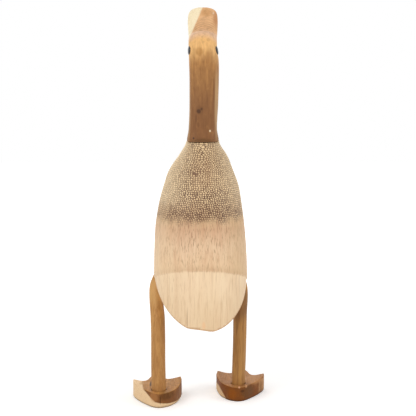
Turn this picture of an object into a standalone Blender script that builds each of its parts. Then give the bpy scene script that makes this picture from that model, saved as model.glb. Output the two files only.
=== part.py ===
"""A walking duck, 430 mm tall, carved from the root end of a bamboo culm.

The body is one piece of bamboo, rootlet scars up, with the oblique saw cut of the culm
underneath as tail and belly. Head and neck are one piece of hardwood, doweled and glued
on top. Two whittled hardwood legs are glued into the saw cut and into the webbed feet.
The duck faces -Y, its left side is at +X, and it stands on z = 0. Sizes are in metres
and angles in degrees.
"""

import math

import bmesh
import bpy
from mathutils import Matrix, Vector
from mathutils.bvhtree import BVHTree

# Fit of every glued joint
GLUE_GAP = 0.0003

# Bamboo body: the node ring is where the root end meets the smooth culm
NODE_HEIGHT = 0.1345
NODE_FORWARD = -0.0038
NODE_LEAN = 17.4
BODY_LEFT = 0.0514
BODY_RIGHT = 0.0509
BODY_HALF_DEPTH = 0.0507
BODY_RISE = 0.1493
NECK_AHEAD_OF_NODE = 0.0256

# Flat joint between body and neck
JOINT_LEFT = 0.0156
JOINT_RIGHT = 0.0202
JOINT_HALF_DEPTH = 0.0169
JOINT_LEAN = -6.8

# Root end from the node ring up to the neck joint, as shares of the way between them:
# height, forward shift, lean, fullness on the left, on the right and in depth, squareness
ROOT_PROFILE = (
    (0.000, 0.000, 1.00, 1.000, 1.000, 1.000, 2.0),
    (0.121, 0.190, 0.73, 0.999, 0.995, 1.000, 2.0),
    (0.254, 0.395, 0.49, 0.988, 0.962, 0.994, 2.0),
    (0.398, 0.517, 0.33, 0.950, 0.902, 0.950, 2.0),
    (0.539, 0.600, 0.23, 0.855, 0.815, 0.862, 2.0),
    (0.671, 0.700, 0.18, 0.706, 0.703, 0.719, 2.05),
    (0.784, 0.810, 0.14, 0.540, 0.505, 0.536, 2.1),
    (0.884, 0.900, 0.07, 0.252, 0.300, 0.316, 2.3),
    (0.962, 0.978, 0.00, 0.050, 0.050, 0.095, 2.7),
    (1.000, 1.000, 0.00, 0.000, 0.000, 0.000, 3.2),
)

# Smooth culm below the node ring, down to past the tail's tip
CULM_STEP_IN = 0.0008
CULM_STEP_HEIGHT = 0.0022
CULM_TAPER = 0.0015
CULM_END_LEAN = 19.0
CULM_LENGTH = 0.080

# Oblique saw cut under tail and belly, and the trimmed tip of the tail
CUT_SLOPE = 37.4
CUT_ROLL = 5.6
TAIL_LENGTH = 0.0668
TIP_TRIM = 0.0030
TIP_ROLL = -7.5
BREAST_ROUND = 0.030
BREAST_CLEAR = 0.003

# Hollow of the culm, open in the saw cut
HOLLOW_RADIUS = 0.0185
HOLLOW_DEPTH = 0.016

# Dowel between body and neck
DOWEL_RADIUS = 0.004
DOWEL_LENGTH = 0.038

# Neck from the joint up to the jaw
NECK_LENGTH = 0.0802
NECK_HALF_WIDTH = 0.0159
NECK_HALF_DEPTH = 0.0156
NECK_SQUARENESS = 3.2
NECK_SHIFT = -0.0023
NECK_SWAY = -0.0015
JAW_BACKWARD = 0.0036
JAW_HALF_WIDTH = 0.0165
JAW_HALF_DEPTH = 0.0172
JAW_NAPE_RISE = 0.0120
JAW_SQUARENESS = 2.7
JAW_SWAY_SHARE = 0.8

# Neck sections, as shares: of the neck's length, of its half depth that the front lies higher,
# and of its sway to one side
NECK_PROFILE = ((0.16, 0.10, 0.0), (0.50, 0.03, 0.75), (0.80, -0.05, 1.0))

# Head, as a side view of its crown and throat measured forward and up from the jaw
CROWN_PROFILE = (
    ((-0.0160, 0.0270), (0.0189, 0.0077)),
    ((-0.0100, 0.0353), (0.0213, 0.0143)),
    ((-0.0015, 0.0383), (0.0243, 0.0205)),
    ((0.0080, 0.0373), (0.0279, 0.0267)),
)
CROWN_HALF_WIDTH = 0.0158
CROWN_SQUARENESS = 2.4

# Bill, straight along its top behind a shallow stop
BILL_ANGLE = 46.0
BILL_LENGTH = 0.0445
BILL_STOP = 0.0040
BILL_SLANT = 11.5
BILL_HALF_WIDTH = 0.0169
BILL_THICKNESS = 0.0105
BILL_SQUARENESS = 3.0

# Bill sections, as shares: length, depth of the stop, thickness, half width
BILL_PROFILE = (
    (0.165, 0.85, 1.71, 0.955),
    (0.375, 1.00, 1.29, 0.985),
    (0.585, 1.01, 1.00, 1.000),
    (0.780, 1.00, 0.81, 0.970),
    (0.905, 1.03, 0.61, 0.850),
    (0.970, 1.06, 0.40, 0.640),
    (1.000, 1.10, 0.18, 0.380),
)

# Inlaid eyes, measured from the jaw
EYE_FORWARD = -0.0058
EYE_UP = 0.0172
EYE_RADIUS = 0.0046
EYE_DEPTH = 0.0035
EYE_DOME = 0.0010

# Legs: half widths of the whittled stick, and how deep it is glued in at both ends
LEFT_LEG_RADIUS = 0.0081
RIGHT_LEG_RADIUS = 0.0077
LEG_TOP_SHARE = 0.84
LEG_SQUARENESS = 1.8
BODY_SOCKET = 0.019
FOOT_SOCKET = 0.0080

# Where each leg stands, bows out and enters the body: sideways and forward
LEFT_ANKLE = (0.0452, -0.0270)
LEFT_KNEE = (0.0465, -0.0150)
LEFT_HIP = (0.0423, -0.0040)
RIGHT_ANKLE = (-0.0414, 0.0015)
RIGHT_KNEE = (-0.0434, 0.0040)
RIGHT_HIP = (-0.0385, 0.0050)
HIP_TUCK = 19.0
HIP_LEAN = 8.0

# Shares of the leg's height and of the way from ankle to knee where it is thickest and bows
SHIN = (0.30, 0.65)
KNEE_HEIGHT = 0.60

# Foot, outward and forward from the ankle: each stretch runs smoothly between two corners
HEEL_AND_INSIDE = (
    (0.0303, 0.0425), (0.0298, 0.0330), (0.0258, 0.0195), (0.0200, 0.0060),
    (0.0132, -0.0060), (0.0065, -0.0155), (-0.0010, -0.0193), (-0.0090, -0.0150),
    (-0.0150, -0.0065), (-0.0204, 0.0075), (-0.0232, 0.0250), (-0.0242, 0.0410),
    (-0.0228, 0.0550),
)
INNER_WEB = (
    (-0.0228, 0.0550), (-0.0145, 0.0496), (-0.0070, 0.0500), (0.0000, 0.0570),
    (0.0060, 0.0675),
)
OUTER_WEB = (
    (0.0060, 0.0675), (0.0115, 0.0560), (0.0155, 0.0435), (0.0215, 0.0383),
    (0.0303, 0.0425),
)
FOOT_HEEL_THICKNESS = 0.0156
FOOT_TOE_THICKNESS = 0.0181
FOOT_EDGE = 0.0011
FOOT_MIDDLE = 0.0170
SOLE_INSET = 0.0014

AROUND_BODY = 48
AROUND_HEAD = 36
AROUND_LEG = 16
AROUND_BORE = 24
CULM_STEPS = 7
ROUND_STEPS = 6
BREAST_STEPS = 8
STEPS = 3


def clear_scene():
    for old in list(bpy.data.objects):
        bpy.data.objects.remove(old, do_unlink=True)


def make_material(name, colour, roughness):
    material = bpy.data.materials.new(name)
    material.use_nodes = True
    shader = material.node_tree.nodes["Principled BSDF"]
    shader.inputs["Base Color"].default_value = (*colour, 1.0)
    shader.inputs["Roughness"].default_value = roughness
    shader.inputs["Metallic"].default_value = 0.0
    return material


def make_object(name, bm, material):
    """Closes, turns out and shades a bmesh, and puts it in the scene as an object."""
    bmesh.ops.recalc_face_normals(bm, faces=bm.faces)
    mesh = bpy.data.meshes.new(name)
    bm.to_mesh(mesh)
    bm.free()
    mesh.shade_smooth()
    mesh.set_sharp_from_angle(angle=math.radians(35))
    obj = bpy.data.objects.new(name, mesh)
    bpy.context.scene.collection.objects.link(obj)
    if material:
        mesh.materials.append(material)
    return obj


def make_cutter(name, bm):
    cutter = make_object(name, bm, None)
    cutter.hide_render = True
    cutter.display_type = "WIRE"
    return cutter


def cut(obj, cutter):
    modifier = obj.modifiers.new("cut " + cutter.name, "BOOLEAN")
    modifier.operation = "DIFFERENCE"
    modifier.solver = "EXACT"
    modifier.object = cutter


def smooth_rows(rows, steps):
    """A smooth curve through rows of numbers, with steps pieces between two rows."""
    rows = [tuple(map(float, row)) for row in rows]
    places = [0.0]
    for a, b in zip(rows, rows[1:]):
        places.append(places[-1] + math.sqrt(sum((q - p) ** 2 for p, q in zip(a[:3], b[:3]))))
    slopes = []
    for i, row in enumerate(rows):
        low, high = max(i - 1, 0), min(i + 1, len(rows) - 1)
        span = places[high] - places[low]
        slopes.append([(q - p) / span for p, q in zip(rows[low], rows[high])])
    curve = []
    for i in range(len(rows) - 1):
        span = places[i + 1] - places[i]
        for step in range(steps):
            t = step / steps
            h00 = 2 * t**3 - 3 * t**2 + 1
            h10 = t**3 - 2 * t**2 + t
            h01 = 3 * t**2 - 2 * t**3
            h11 = t**3 - t**2
            curve.append(tuple(
                h00 * p + h10 * span * m + h01 * q + h11 * span * n
                for p, m, q, n in zip(rows[i], slopes[i], rows[i + 1], slopes[i + 1])
            ))
    curve.append(rows[-1])
    return curve


def ring_of(centre, across, along, half_across, half_along, squareness, count):
    """Points of a rounded outline: squareness 2 is an ellipse, and more is boxier."""
    points = []
    for i in range(count):
        angle = 2 * math.pi * i / count
        c, s = math.cos(angle), math.sin(angle)
        a = math.copysign(abs(c) ** (2 / squareness), c) * half_across
        b = math.copysign(abs(s) ** (2 / squareness), s) * half_along
        points.append(centre + across * a + along * b)
    return points


def loft(rings):
    """A closed skin over rings that all have the same number of points."""
    bm = bmesh.new()
    loops = [[bm.verts.new(point) for point in ring] for ring in rings]
    for low, high in zip(loops, loops[1:]):
        for i in range(len(low)):
            j = (i + 1) % len(low)
            bm.faces.new((low[i], low[j], high[j], high[i]))
    bm.faces.new(loops[0])
    bm.faces.new(loops[-1])
    return bm


def place(sideways, forward, up):
    return Vector((sideways, -forward, up))


def leaning(lean):
    """Unit vectors of a level section turned up at its back by lean: back and up."""
    a = math.radians(lean)
    return Vector((0, math.cos(a), math.sin(a))), Vector((0, -math.sin(a), math.cos(a)))


def mix(a, b, share):
    return a + (b - a) * share


def joint_centre():
    return place(0, NODE_FORWARD + NECK_AHEAD_OF_NODE, NODE_HEIGHT + BODY_RISE)


def root_rings():
    rings = []
    for height, forward, lean, left, right, depth, squareness in smooth_rows(ROOT_PROFILE, STEPS):
        back, _ = leaning(mix(JOINT_LEAN, NODE_LEAN, lean))
        left = mix(JOINT_LEFT, BODY_LEFT, left)
        right = mix(JOINT_RIGHT, BODY_RIGHT, right)
        centre = place(
            (left - right) / 2,
            NODE_FORWARD + NECK_AHEAD_OF_NODE * forward,
            NODE_HEIGHT + BODY_RISE * height,
        )
        half_depth = mix(JOINT_HALF_DEPTH, BODY_HALF_DEPTH, depth)
        half_width = (left + right) / 2
        rings.append(ring_of(
            centre, Vector((1, 0, 0)), back, half_width, half_depth, squareness, AROUND_BODY
        ))
    return rings


def culm_section(share):
    """Centre, back vector and inward taper of the culm at a share of its length."""
    lean = mix(NODE_LEAN, CULM_END_LEAN, share)
    back, up = leaning(lean)
    _, mean_up = leaning((NODE_LEAN + lean) / 2)
    node = place((BODY_LEFT - BODY_RIGHT) / 2, NODE_FORWARD, NODE_HEIGHT)
    return node - mean_up * CULM_LENGTH * share, back, CULM_TAPER * share


def culm_rings():
    rings = []
    first = CULM_STEP_HEIGHT / CULM_LENGTH
    for step in range(CULM_STEPS, -1, -1):
        share = mix(first, 1, step / CULM_STEPS)
        centre, back, taper = culm_section(share)
        smaller = CULM_STEP_IN + taper
        half_width = (BODY_LEFT + BODY_RIGHT) / 2 - smaller
        rings.append(ring_of(
            centre, Vector((1, 0, 0)), back, half_width, BODY_HALF_DEPTH - smaller, 2, AROUND_BODY
        ))
    return rings


def tail_tip():
    """Where the saw cut meets the back of the culm."""
    centre, back, taper = culm_section(TAIL_LENGTH / CULM_LENGTH)
    return centre + back * (BODY_HALF_DEPTH - CULM_STEP_IN - taper)


def cut_height(sideways, forward):
    """Height of the flat saw cut over a place on the floor."""
    tip = tail_tip()
    rise = (forward + tip.y) * math.tan(math.radians(CUT_SLOPE))
    return tip.z + rise + (sideways - tip.x) * math.tan(math.radians(CUT_ROLL))


def underside_cutter():
    """All that lies below the saw cut, whose front end rounds up into the breast."""
    tip = tail_tip()
    slope = math.radians(CUT_SLOPE)
    breast = NODE_FORWARD + NECK_AHEAD_OF_NODE / 2 + BODY_HALF_DEPTH + BREAST_CLEAR
    arc_start = breast - BREAST_ROUND * (1 - math.sin(slope))
    behind = -tip.y - BODY_HALF_DEPTH
    line = [(behind, tip.z - BODY_HALF_DEPTH * math.tan(slope))]
    for step in range(BREAST_STEPS + 1):
        turn = mix(slope, math.pi / 2, step / BREAST_STEPS)
        forward = arc_start + BREAST_ROUND * (math.sin(turn) - math.sin(slope))
        up = tip.z + (arc_start + tip.y) * math.tan(slope)
        line.append((forward, up + BREAST_ROUND * (math.cos(slope) - math.cos(turn))))
    ahead = breast + BODY_HALF_DEPTH
    line += [(breast, NODE_HEIGHT + BODY_RISE), (ahead, NODE_HEIGHT + BODY_RISE)]
    line += [(ahead, -NODE_HEIGHT), (behind, -NODE_HEIGHT)]
    reach = BODY_LEFT + BODY_RIGHT
    rings = []
    for sideways in (-reach, reach):
        lift = (sideways - tip.x) * math.tan(math.radians(CUT_ROLL))
        rings.append([place(sideways, forward, up + lift) for forward, up in line])
    return make_cutter("underside_cutter", loft(rings))


def tip_cutter():
    """A block that trims the point of the tail a little askew."""
    share = (TAIL_LENGTH - TIP_TRIM) / CULM_LENGTH
    centre, back, _ = culm_section(share)
    turned = Matrix.Rotation(math.radians(TIP_ROLL), 3, back) @ Vector((1, 0, 0))
    size = BODY_LEFT + BODY_RIGHT
    away = turned.cross(back)
    if away.z > 0:
        away = -away
    corner = centre + back * (BODY_HALF_DEPTH - CULM_STEP_IN)
    rings = []
    for depth in (0, size):
        middle = corner + away * depth
        rings.append([
            middle + turned * (size * a) + back * (size * b)
            for a, b in ((-1, -1), (1, -1), (1, 1), (-1, 1))
        ])
    return make_cutter("tip_cutter", loft(rings))


def hollow_cutter():
    """The culm's hollow: a round bore with a domed end, along the culm."""
    centre, back, _ = culm_section(0)
    down = culm_section(1)[0] - centre
    down.normalize()
    across = Vector((1, 0, 0))
    rings = []
    for step in range(1, ROUND_STEPS + 1):
        turn = math.pi / 2 * step / ROUND_STEPS
        radius = HOLLOW_RADIUS * math.sin(turn)
        depth = HOLLOW_RADIUS / 2 * (1 - math.cos(turn)) - HOLLOW_DEPTH
        rings.append(ring_of(centre + down * depth, across, back, radius, radius, 2, AROUND_BORE))
    end = centre + down * CULM_LENGTH
    rings.append(ring_of(end, across, back, HOLLOW_RADIUS, HOLLOW_RADIUS, 2, AROUND_BORE))
    return make_cutter("hollow_cutter", loft(rings))


def dowel_rings(grow):
    """The dowel, or with grow its hole, along the normal of the neck joint."""
    back, up = leaning(JOINT_LEAN)
    across = Vector((1, 0, 0))
    middle = joint_centre() + across * NECK_SHIFT
    half = DOWEL_LENGTH / 2 + grow
    radius = DOWEL_RADIUS + grow
    return [
        ring_of(middle + up * offset, across, back, radius, radius, 2, AROUND_BORE)
        for offset in (-half, half)
    ]


def make_body(material):
    rings = culm_rings() + root_rings()
    _, up = leaning(JOINT_LEAN)
    rings[-1] = [point - up * (GLUE_GAP / 2) for point in rings[-1]]
    return make_object("body", loft(rings), material)


def jaw_centre():
    return joint_centre() + place(0, -JAW_BACKWARD, NECK_LENGTH)


def pair_section(back_point, front_point, half_width, squareness):
    """A section between two points of the side view: the back or top one, and the front."""
    along = back_point - front_point
    half = along.length / 2
    centre = (back_point + front_point) / 2
    return ring_of(
        centre, Vector((1, 0, 0)), along.normalized(), half_width, half, squareness, AROUND_HEAD
    )


def head_rows():
    """Back and front points, half width, shift and squareness of each section, joint to tip."""
    joint = joint_centre()
    jaw = jaw_centre()
    back, up = leaning(JOINT_LEAN)
    seat = joint + up * (GLUE_GAP / 2)
    mid_joint = (JOINT_LEFT - JOINT_RIGHT) / 2
    rows = [(
        seat + back * JOINT_HALF_DEPTH,
        seat - back * JOINT_HALF_DEPTH,
        (JOINT_LEFT + JOINT_RIGHT) / 2,
        mid_joint,
        ROOT_PROFILE[-1][-1],
    )]
    for share, slant, sway in NECK_PROFILE:
        centre = joint + place(0, -JAW_BACKWARD * share**1.5, NECK_LENGTH * share)
        half_depth = mix(NECK_HALF_DEPTH, JAW_HALF_DEPTH, share**4)
        half_depth = place(0, -half_depth, -half_depth * slant)
        half_width = mix(NECK_HALF_WIDTH, JAW_HALF_WIDTH, share**2)
        shift = NECK_SHIFT + NECK_SWAY * sway
        rows.append((
            centre + half_depth, centre - half_depth, half_width, shift, NECK_SQUARENESS
        ))
    nape = place(0, -JAW_HALF_DEPTH, JAW_NAPE_RISE)
    throat = place(0, JAW_HALF_DEPTH, 0)
    shift = NECK_SHIFT + NECK_SWAY * JAW_SWAY_SHARE
    rows.append((jaw + nape, jaw + throat, JAW_HALF_WIDTH, shift, JAW_SQUARENESS))
    for top, throat in CROWN_PROFILE:
        rows.append((
            jaw + place(0, *top), jaw + place(0, *throat),
            CROWN_HALF_WIDTH, NECK_SHIFT, CROWN_SQUARENESS,
        ))
    slope = math.radians(BILL_ANGLE)
    ahead = place(0, math.cos(slope), math.sin(slope))
    under = place(0, math.sin(slope), -math.cos(slope))
    lean = math.radians(BILL_SLANT)
    root = jaw + place(0, *CROWN_PROFILE[-1][0])
    for share, stop, thickness, width in BILL_PROFILE:
        top = root + ahead * (BILL_LENGTH * share) + under * (BILL_STOP * stop)
        slant = under * math.cos(lean) + ahead * math.sin(lean)
        rows.append((
            top, top + slant * (BILL_THICKNESS * thickness),
            BILL_HALF_WIDTH * width, NECK_SHIFT, BILL_SQUARENESS,
        ))
    return rows


def make_head(material):
    rows = [
        (*back, *front, half_width, shift, squareness)
        for back, front, half_width, shift, squareness in head_rows()
    ]
    rings = []
    for row in smooth_rows(rows, STEPS):
        shift = Vector((row[7], 0, 0))
        back = Vector((0, row[1], row[2])) + shift
        front = Vector((0, row[4], row[5])) + shift
        rings.append(pair_section(back, front, row[6], row[8]))
    return make_object("head_and_neck", loft(rings), material)


def seat_eye(head, name, side, material):
    """Cuts the eye's hole square to the cheek and puts the domed plug into it."""
    bm = bmesh.new()
    bm.from_mesh(head.data)
    tree = BVHTree.FromBMesh(bm)
    bm.free()
    target = jaw_centre() + place(0, EYE_FORWARD, EYE_UP)
    outside = target + Vector((side * JAW_HALF_WIDTH * 3, 0, 0))
    seat, normal, _, _ = tree.ray_cast(outside, Vector((-side, 0, 0)))
    across = Vector((0, 0, 1)).cross(normal).normalized()
    along = normal.cross(across)

    def disc(height, radius):
        return ring_of(seat + normal * height, across, along, radius, radius, 2, AROUND_BORE)

    plug = [disc(-EYE_DEPTH, EYE_RADIUS)]
    for step in range(ROUND_STEPS):
        turn = math.pi / 2 * step / ROUND_STEPS
        plug.append(disc(EYE_DOME * math.sin(turn), EYE_RADIUS * math.cos(turn)))
    make_object(name, loft(plug), material)
    wide = EYE_RADIUS + GLUE_GAP
    hole = [disc(-EYE_DEPTH - GLUE_GAP, wide), disc(EYE_DEPTH, wide)]
    cut(head, make_cutter(name + "_cutter", loft(hole)))


def leg_rings(ankle, knee, hip, radius, grow):
    """The stick from its end in the foot to its end in the body, or with grow its socket."""
    hip_up = cut_height(*hip)
    ankle_up = foot_top(0)
    tuck = math.radians(HIP_TUCK)
    lean = math.radians(HIP_LEAN)
    inward = -math.copysign(math.tan(tuck), hip[0])
    into_body = place(inward, math.tan(lean), 1).normalized()
    hip_point = place(*hip, hip_up)
    height, way = SHIN
    shin = (mix(ankle[0], knee[0], way), mix(ankle[1], knee[1], way))
    path = [
        place(*ankle, ankle_up - FOOT_SOCKET),
        place(*ankle, ankle_up),
        place(*shin, mix(ankle_up, hip_up, height)),
        place(*knee, mix(ankle_up, hip_up, KNEE_HEIGHT)),
        hip_point - into_body * BODY_SOCKET,
        hip_point,
        hip_point + into_body * BODY_SOCKET,
    ]
    path = [Vector(point) for point in smooth_rows(path, STEPS)]
    taper_from = mix(ankle_up, hip_up, KNEE_HEIGHT)
    rings = []
    for i, point in enumerate(path):
        tangent = path[min(i + 1, len(path) - 1)] - path[max(i - 1, 0)]
        tangent.normalize()
        share = max(0.0, (point.z - taper_from) / (path[-1].z - taper_from))
        thick = radius * mix(1, LEG_TOP_SHARE, share) + grow
        along = tangent.cross(Vector((1, 0, 0))).normalized()
        across = along.cross(tangent).normalized()
        if i == 0:
            point = point - tangent * grow
        if i == len(path) - 1:
            point = point + tangent * grow
        rings.append(ring_of(point, across, along, thick, thick, LEG_SQUARENESS, AROUND_LEG))
    return rings


def foot_outline():
    points = []
    for stretch in (HEEL_AND_INSIDE, INNER_WEB, OUTER_WEB):
        points += [(outward, ahead) for outward, ahead in smooth_rows(stretch, STEPS)][:-1]
    return points


def foot_top(forward):
    """Height of a foot's upper face, thinner at the heel than at the toes."""
    heel = min(ahead for _, ahead in HEEL_AND_INSIDE)
    toe = max(ahead for _, ahead in INNER_WEB)
    return mix(FOOT_HEEL_THICKNESS, FOOT_TOE_THICKNESS, (forward - heel) / (toe - heel))


def make_foot(name, ankle, side, material):
    """A flat webbed foot with three toes, mirrored for the right side."""
    outline = foot_outline()

    def ring(inset, height):
        points = []
        for outward, forward in outline:
            keep = 1 - inset / math.hypot(outward, forward - FOOT_MIDDLE)
            outward *= keep
            forward = FOOT_MIDDLE + (forward - FOOT_MIDDLE) * keep
            up = height(forward)
            points.append(place(ankle[0] + side * outward, ankle[1] + forward, up))
        return points

    rings = [
        ring(SOLE_INSET, lambda forward: 0.0),
        ring(0, lambda forward: SOLE_INSET),
        ring(0, lambda forward: foot_top(forward) - FOOT_EDGE),
        ring(FOOT_EDGE, foot_top),
    ]
    return make_object(name, loft(rings), material)


def stand_on_origin():
    """Hangs every piece on one empty, so that the middle of the base lies at the origin."""
    graph = bpy.context.evaluated_depsgraph_get()
    corners = []
    pieces = [obj for obj in bpy.context.scene.objects if obj.type == "MESH"]
    for piece in pieces:
        if not piece.hide_render:
            shape = piece.evaluated_get(graph).to_mesh()
            corners += [vertex.co.copy() for vertex in shape.vertices]
    low = Vector([min(corner[i] for corner in corners) for i in range(3)])
    high = Vector([max(corner[i] for corner in corners) for i in range(3)])
    duck = bpy.data.objects.new("duck", None)
    bpy.context.scene.collection.objects.link(duck)
    for piece in pieces:
        piece.parent = duck
    duck.location = (-(low.x + high.x) / 2, -(low.y + high.y) / 2, -low.z)


def main():
    clear_scene()
    bamboo = make_material("bamboo root", (0.62, 0.44, 0.26), 0.6)
    wood = make_material("carved hardwood", (0.42, 0.23, 0.10), 0.55)
    black = make_material("black stained plug", (0.01, 0.01, 0.01), 0.3)

    body = make_body(bamboo)
    for cutter in (underside_cutter(), tip_cutter(), hollow_cutter()):
        cut(body, cutter)
    head = make_head(wood)
    make_object("neck_dowel", loft(dowel_rings(0)), wood)
    dowel_hole = make_cutter("dowel_cutter", loft(dowel_rings(GLUE_GAP)))
    cut(body, dowel_hole)
    cut(head, dowel_hole)
    seat_eye(head, "eye_left", 1, black)
    seat_eye(head, "eye_right", -1, black)

    legs = (
        ("left", 1, LEFT_ANKLE, LEFT_KNEE, LEFT_HIP, LEFT_LEG_RADIUS),
        ("right", -1, RIGHT_ANKLE, RIGHT_KNEE, RIGHT_HIP, RIGHT_LEG_RADIUS),
    )
    for name, side, ankle, knee, hip, radius in legs:
        make_object("leg_" + name, loft(leg_rings(ankle, knee, hip, radius, 0)), wood)
        socket = loft(leg_rings(ankle, knee, hip, radius, GLUE_GAP))
        socket = make_cutter("socket_cutter_" + name, socket)
        foot = make_foot("foot_" + name, ankle, side, wood)
        cut(body, socket)
        cut(foot, socket)
    stand_on_origin()


main()
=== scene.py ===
"""Bamboo root duck carving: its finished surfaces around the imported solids, and its stage."""

import math
from functools import partial

import bpy
import numpy as np
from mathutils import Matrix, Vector, noise
from mathutils.kdtree import KDTree


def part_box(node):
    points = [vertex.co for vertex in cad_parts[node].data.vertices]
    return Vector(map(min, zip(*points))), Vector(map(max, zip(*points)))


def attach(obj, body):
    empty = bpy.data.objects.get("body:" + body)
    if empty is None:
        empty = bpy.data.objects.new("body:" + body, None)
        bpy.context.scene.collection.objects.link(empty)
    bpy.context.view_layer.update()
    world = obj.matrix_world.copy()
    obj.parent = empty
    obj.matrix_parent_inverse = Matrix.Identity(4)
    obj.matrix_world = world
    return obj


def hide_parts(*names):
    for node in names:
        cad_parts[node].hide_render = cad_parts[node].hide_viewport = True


bl_info = {
    "name": "Bamboo Root Duck",
    "version": (1, 0, 0),
    "blender": (4, 5, 0),
    "location": "3D View > Sidebar > Duck",
    "description": "Builds the carved surfaces and woods of a standing bamboo root duck",
    "category": "Object",
}

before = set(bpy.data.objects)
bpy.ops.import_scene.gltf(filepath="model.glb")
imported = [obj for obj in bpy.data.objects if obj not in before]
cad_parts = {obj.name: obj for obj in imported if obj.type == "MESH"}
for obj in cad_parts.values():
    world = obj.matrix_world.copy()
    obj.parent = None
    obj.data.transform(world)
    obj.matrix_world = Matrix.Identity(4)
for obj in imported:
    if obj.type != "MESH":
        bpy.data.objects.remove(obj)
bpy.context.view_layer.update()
MM = 0.001

# The forms below are those of the solids: metres and degrees, sideways, forward and up
GLUE_GAP = 0.0003
NODE_HEIGHT = 0.1345
NODE_FORWARD = -0.0038
NODE_LEAN = 17.4
BODY_LEFT = 0.0514
BODY_RIGHT = 0.0509
BODY_HALF_DEPTH = 0.0507
BODY_RISE = 0.1493
NECK_AHEAD_OF_NODE = 0.0256
JOINT_LEFT = 0.0156
JOINT_RIGHT = 0.0202
JOINT_HALF_DEPTH = 0.0169
JOINT_LEAN = -6.8
DOWEL_RADIUS = 0.004
DOWEL_LENGTH = 0.038

# Root end: height, forward shift, lean, fullness left, right and in depth, squareness
ROOT_PROFILE = (
    (0.000, 0.000, 1.00, 1.000, 1.000, 1.000, 2.0),
    (0.121, 0.190, 0.73, 0.999, 0.995, 1.000, 2.0),
    (0.254, 0.395, 0.49, 0.988, 0.962, 0.994, 2.0),
    (0.398, 0.517, 0.33, 0.950, 0.902, 0.950, 2.0),
    (0.539, 0.600, 0.23, 0.855, 0.815, 0.862, 2.0),
    (0.671, 0.700, 0.18, 0.706, 0.703, 0.719, 2.05),
    (0.784, 0.810, 0.14, 0.540, 0.505, 0.536, 2.1),
    (0.884, 0.900, 0.07, 0.252, 0.300, 0.316, 2.3),
    (0.962, 0.978, 0.00, 0.050, 0.050, 0.095, 2.7),
    (1.000, 1.000, 0.00, 0.000, 0.000, 0.000, 3.2),
)
CULM_STEP_IN = 0.0008
CULM_STEP_HEIGHT = 0.0022
CULM_TAPER = 0.0015
CULM_END_LEAN = 19.0
CULM_LENGTH = 0.080
CUT_SLOPE = 37.4
CUT_ROLL = 5.6
TAIL_LENGTH = 0.0668
TIP_TRIM = 0.0030
TIP_ROLL = -7.5
BREAST_ROUND = 0.030
BREAST_CLEAR = 0.003
HOLLOW_RADIUS = 0.0185
HOLLOW_DEPTH = 0.016

NECK_LENGTH = 0.0802
NECK_HALF_WIDTH = 0.0159
NECK_HALF_DEPTH = 0.0156
NECK_SQUARENESS = 3.2
NECK_SHIFT = -0.0023
NECK_SWAY = -0.0015
JAW_BACKWARD = 0.0036
JAW_HALF_WIDTH = 0.0165
JAW_HALF_DEPTH = 0.0172
JAW_NAPE_RISE = 0.0120
JAW_SQUARENESS = 2.7
JAW_SWAY_SHARE = 0.8
NECK_PROFILE = ((0.16, 0.10, 0.0), (0.50, 0.03, 0.75), (0.80, -0.05, 1.0))
CROWN_PROFILE = (
    ((-0.0160, 0.0270), (0.0189, 0.0077)),
    ((-0.0100, 0.0353), (0.0213, 0.0143)),
    ((-0.0015, 0.0383), (0.0243, 0.0205)),
    ((0.0080, 0.0373), (0.0279, 0.0267)),
)
CROWN_HALF_WIDTH = 0.0158
CROWN_SQUARENESS = 2.4
BILL_ANGLE = 46.0
BILL_LENGTH = 0.0445
BILL_STOP = 0.0040
BILL_SLANT = 11.5
BILL_HALF_WIDTH = 0.0169
BILL_THICKNESS = 0.0105
BILL_SQUARENESS = 3.0
BILL_PROFILE = (
    (0.165, 0.85, 1.71, 0.955),
    (0.375, 1.00, 1.29, 0.985),
    (0.585, 1.01, 1.00, 1.000),
    (0.780, 1.00, 0.81, 0.970),
    (0.905, 1.03, 0.61, 0.850),
    (0.970, 1.06, 0.40, 0.640),
    (1.000, 1.10, 0.18, 0.380),
)

LEFT_LEG_RADIUS = 0.0081
RIGHT_LEG_RADIUS = 0.0077
LEG_TOP_SHARE = 0.84
LEG_SQUARENESS = 1.8
BODY_SOCKET = 0.019
FOOT_SOCKET = 0.0080
LEFT_LEG = ((0.0452, -0.0270), (0.0465, -0.0150), (0.0423, -0.0040))
RIGHT_LEG = ((-0.0414, 0.0015), (-0.0434, 0.0040), (-0.0385, 0.0050))
HIP_TUCK = 19.0
HIP_LEAN = 8.0
SHIN = (0.30, 0.65)
KNEE_HEIGHT = 0.60

HEEL_AND_INSIDE = (
    (0.0303, 0.0425), (0.0298, 0.0330), (0.0258, 0.0195), (0.0200, 0.0060),
    (0.0132, -0.0060), (0.0065, -0.0155), (-0.0010, -0.0193), (-0.0090, -0.0150),
    (-0.0150, -0.0065), (-0.0204, 0.0075), (-0.0232, 0.0250), (-0.0242, 0.0410),
    (-0.0228, 0.0550),
)
INNER_WEB = (
    (-0.0228, 0.0550), (-0.0145, 0.0496), (-0.0070, 0.0500), (0.0000, 0.0570),
    (0.0060, 0.0675),
)
OUTER_WEB = (
    (0.0060, 0.0675), (0.0115, 0.0560), (0.0155, 0.0435), (0.0215, 0.0383),
    (0.0303, 0.0425),
)
FOOT_HEEL_THICKNESS = 0.0156
FOOT_TOE_THICKNESS = 0.0181
FOOT_MIDDLE = 0.0170
SOLE_INSET = 0.0014


def linear(tint):
    """Red, green and blue of a colour, which is linear unless it is an sRGB hex value."""
    if not isinstance(tint, str):
        return tuple(tint)
    parts = [int(tint[i:i + 2], 16) / 255 for i in (1, 3, 5)]
    return tuple(p / 12.92 if p <= 0.04045 else ((p + 0.055) / 1.055) ** 2.4 for p in parts)


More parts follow.
